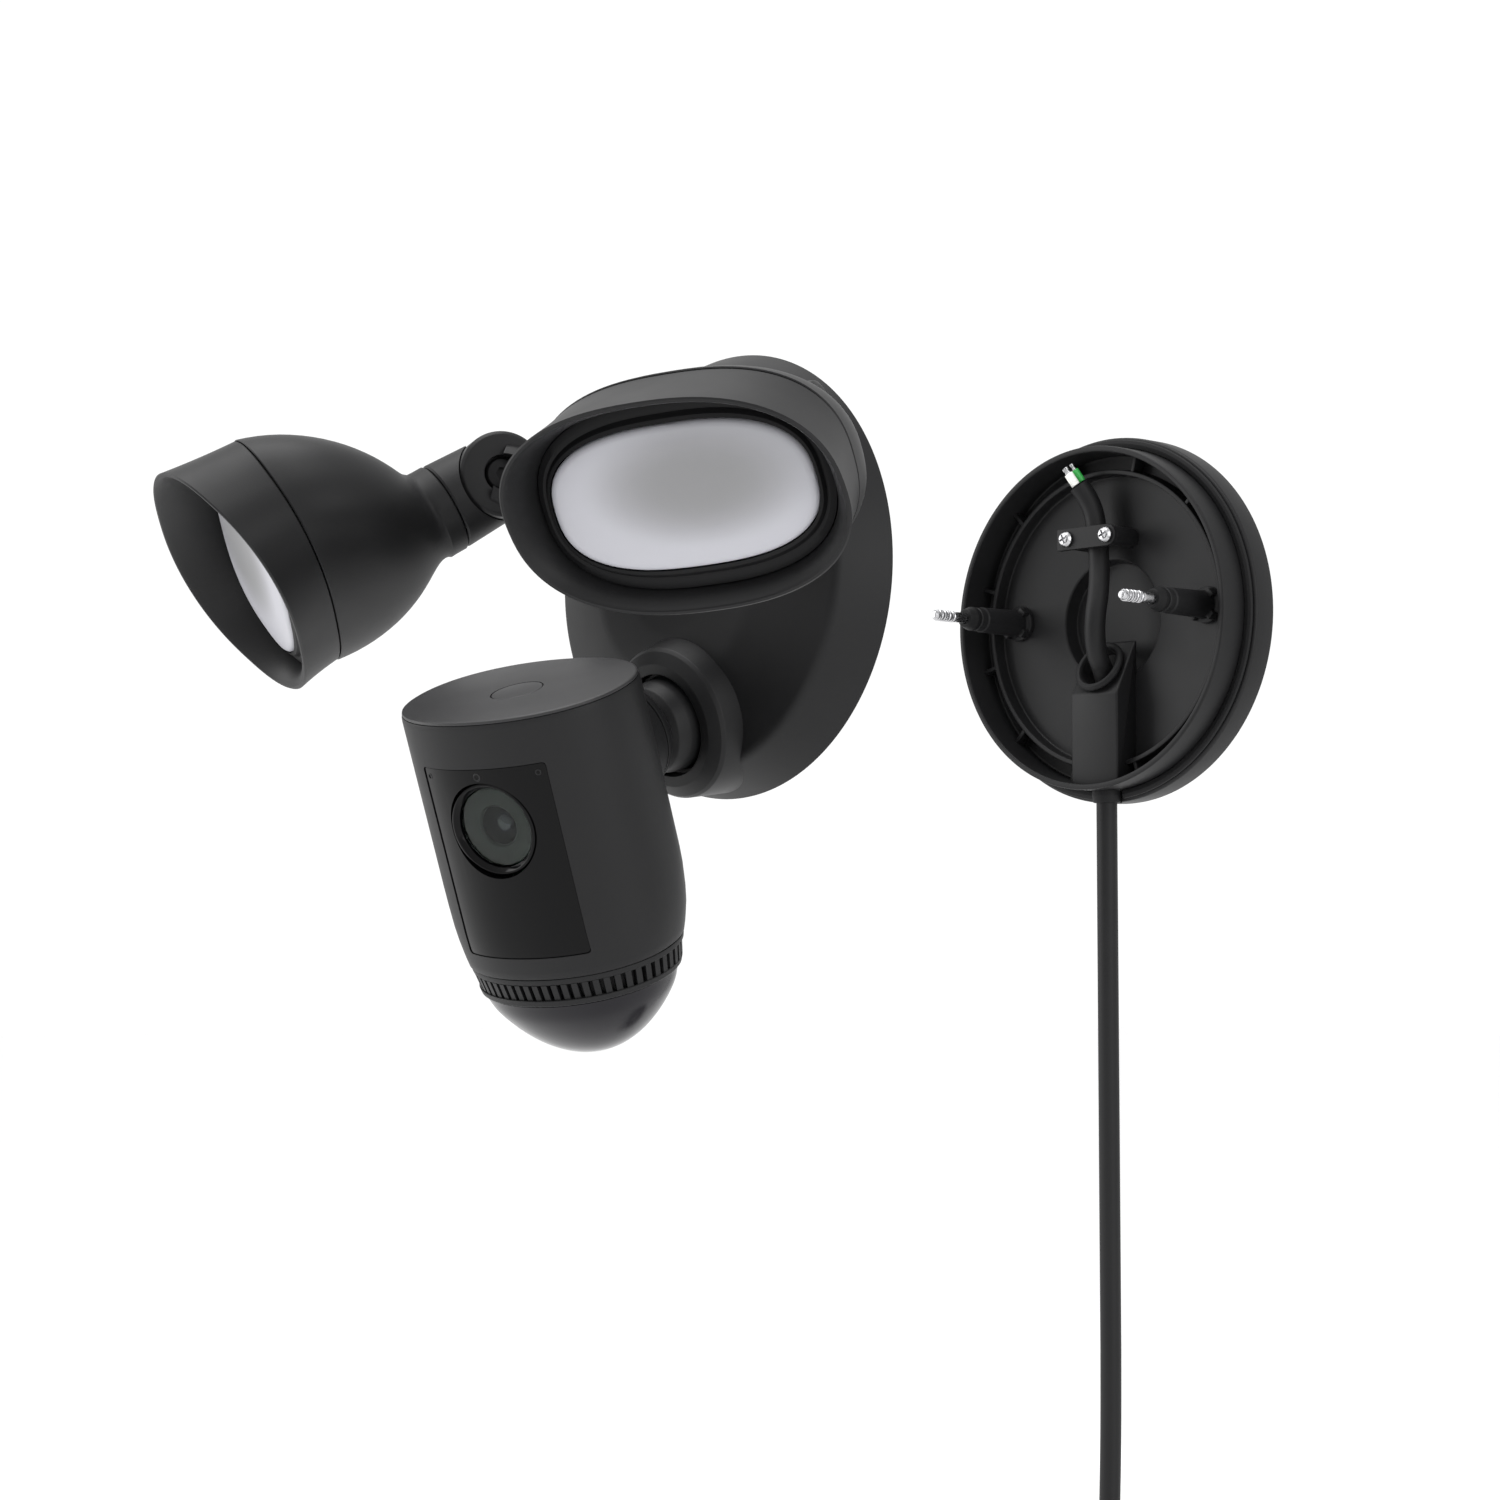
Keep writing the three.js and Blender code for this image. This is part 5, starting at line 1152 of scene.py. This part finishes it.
# %% Grille rails and bars
upper_rail = ((0.915, 81.3, 0.1, 2.1, 1.8), (0.913, 81.6, 0, 2.1, 1.8), (0.905, 82.9, 0, 2.1, 1.9),
              (0.903, 83.1, 0.2, 2.1, 1.9), (0.903, 83.1, 2, 2.1, 1.9), (0.915, 81.3, 2, 2.1, 1.8))
lower_rail = ((0.878, 88.1, 0.2, 2.06, 2.6), (0.877, 88.3, 0, 2.06, 2.6), (0.866, 89.7, 0, 2.05, 2.8),
              (0.864, 90, 0.3, 2.05, 2.8), (0.864, 90, 2, 2.05, 2.8), (0.878, 88.1, 2, 2.06, 2.6))
drum = ((0.9, 81.5, 2.2, 2.1, 1.9), (0.866, 89.8, 2.2, 2.05, 2.7), (0.866, 89.8, 3.4, 2.05, 2.7),
        (0.9, 81.5, 3.4, 2.1, 1.9))
for name, sections, finish, *nodes in (("grille_upper_rail", upper_rail, charcoal, "grille_ring"),
                                       ("grille_lower_rail", lower_rail, charcoal),
                                       ("grille_drum", drum, charcoal_dark)):
    band = skin(name, [body_ring(*section) for section in sections], camera_frame, True)
    wear(band, finish, "camera", "housing_charcoal", *nodes)

path_mesh = bpy.data.meshes.new("grille_bars")
path_points = [Vector(point) * MM for point in body_ring(0.8905, 85.6, 1.2, 2.08, 2.25)]
path_mesh.from_pydata(path_points, [(i, (i + 1) % len(path_points)) for i in range(len(path_points))], [])
bars = bpy.data.objects.new("grille_bars", path_mesh)
scene.collection.objects.link(bars)
GRILLE_BARS, BAR_LEAN = 58, 0.18
grow(bars, bars_along, {"Count": GRILLE_BARS, "Bar": (1.85 * MM, 1.9 * MM, 5.6 * MM), "Lean": BAR_LEAN,
                        "Finish": charcoal}, camera_frame)
wear(bars, charcoal, "camera", "housing_charcoal")
print("grille bars", GRILLE_BARS)

# %% Sensor dome
dome_profile = [(0.835, 90.35), (0.77, 96), (0.62, 103), (0.44, 108.8), (0.24, 112.7), (0.03, DOME_APEX)]
dome_curve = smooth_route([Vector((size, down, 0)) for size, down in dome_profile], 6)
outer_dome = [body_ring(point.x, point.y, 0, 2.05, 3) for point in dome_curve]
inner_dome = [body_ring(0.835, 90.35, 1.9, 2.05, 3), body_ring(0.838, 90.2, 0.4, 2.05, 3)]
dome = skin("dome_skin", [inner_dome[0], inner_dome[1]] + outer_dome, camera_frame)
wear(dome, dome_gloss, "camera", "dome_gloss", "sensor_dome")
print("dome rings", len(outer_dome))

# %% [markdown]
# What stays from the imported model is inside: boards, heat sinks, the speaker and the driver tray. They
# keep their solids and take finishes of their own.

# %% Inside parts
inside = {
    board: ("driver_board", "main_board", "image_sensor", "sensor_board", "left_led_board",
            "right_led_board"),
    aluminium: ("left_heat_sink", "right_heat_sink"),
    steel: ("speaker",),
    charcoal_dark: ("driver_cover",),
}
for material, names in inside.items():
    for name in names:
        mesh = frame["nodes"][name].data
        mesh.materials.clear()
        mesh.materials.append(material)
print("inside parts", sum(len(names) for names in inside.values()))

# %% [markdown]
# A pale floor and soft light: a big panel overhead, one on the left and a low one on the right, over an
# even white surround. The dark plastics take their shape from these panels' broad reflections. The plain
# Standard view transform keeps white white, where a filmic one would grey the floor and lift the blacks.

# %% Floor and light
floor_mesh = bpy.data.meshes.new("floor")
FLOOR_Z, FLOOR_HALF = cad_box[0].z - 0.002, 14
corners = [(x, y, FLOOR_Z) for x, y in ((-FLOOR_HALF, -FLOOR_HALF), (FLOOR_HALF, -FLOOR_HALF),
                                        (FLOOR_HALF, FLOOR_HALF), (-FLOOR_HALF, FLOOR_HALF))]
floor_mesh.from_pydata(corners, [], [(0, 1, 2, 3)])
ground = bpy.data.objects.new("floor", floor_mesh)
scene.collection.objects.link(ground)
ground.data.materials.append(moulded("pale_floor", (0.95, 0.95, 0.95), 0.8, 6, 0.02, 0.2, 0.01))

surround = bpy.data.worlds.new("surround")
surround.use_nodes = True
surround.node_tree.nodes["Background"].inputs["Color"].default_value = (1, 1, 1, 1)
surround.node_tree.nodes["Background"].inputs["Strength"].default_value = 1.06
scene.world = surround
scene.view_settings.view_transform = "Standard"


def soft_panel(name, place, aim, width, height, power):
    shape = bpy.data.lights.new(name, "AREA")
    shape.shape, shape.size, shape.size_y, shape.energy = "RECTANGLE", width, height, power
    panel_light = bpy.data.objects.new(name, shape)
    scene.collection.objects.link(panel_light)
    away = Vector(place) - Vector(aim)
    panel_light.matrix_world = Matrix.Translation(place) @ away.to_track_quat("Z", "Y").to_matrix().to_4x4()
    return panel_light


middle = (0.0, -0.2, -0.02)
soft_panel("overhead", (-0.2, -0.5, 1.5), middle, 1.4, 1.0, 22)
soft_panel("left_side", (-1.5, -1.3, 0.5), middle, 1.0, 1.4, 16)
soft_panel("right_side", (1.6, -0.3, 0.3), middle, 0.8, 1.4, 10)
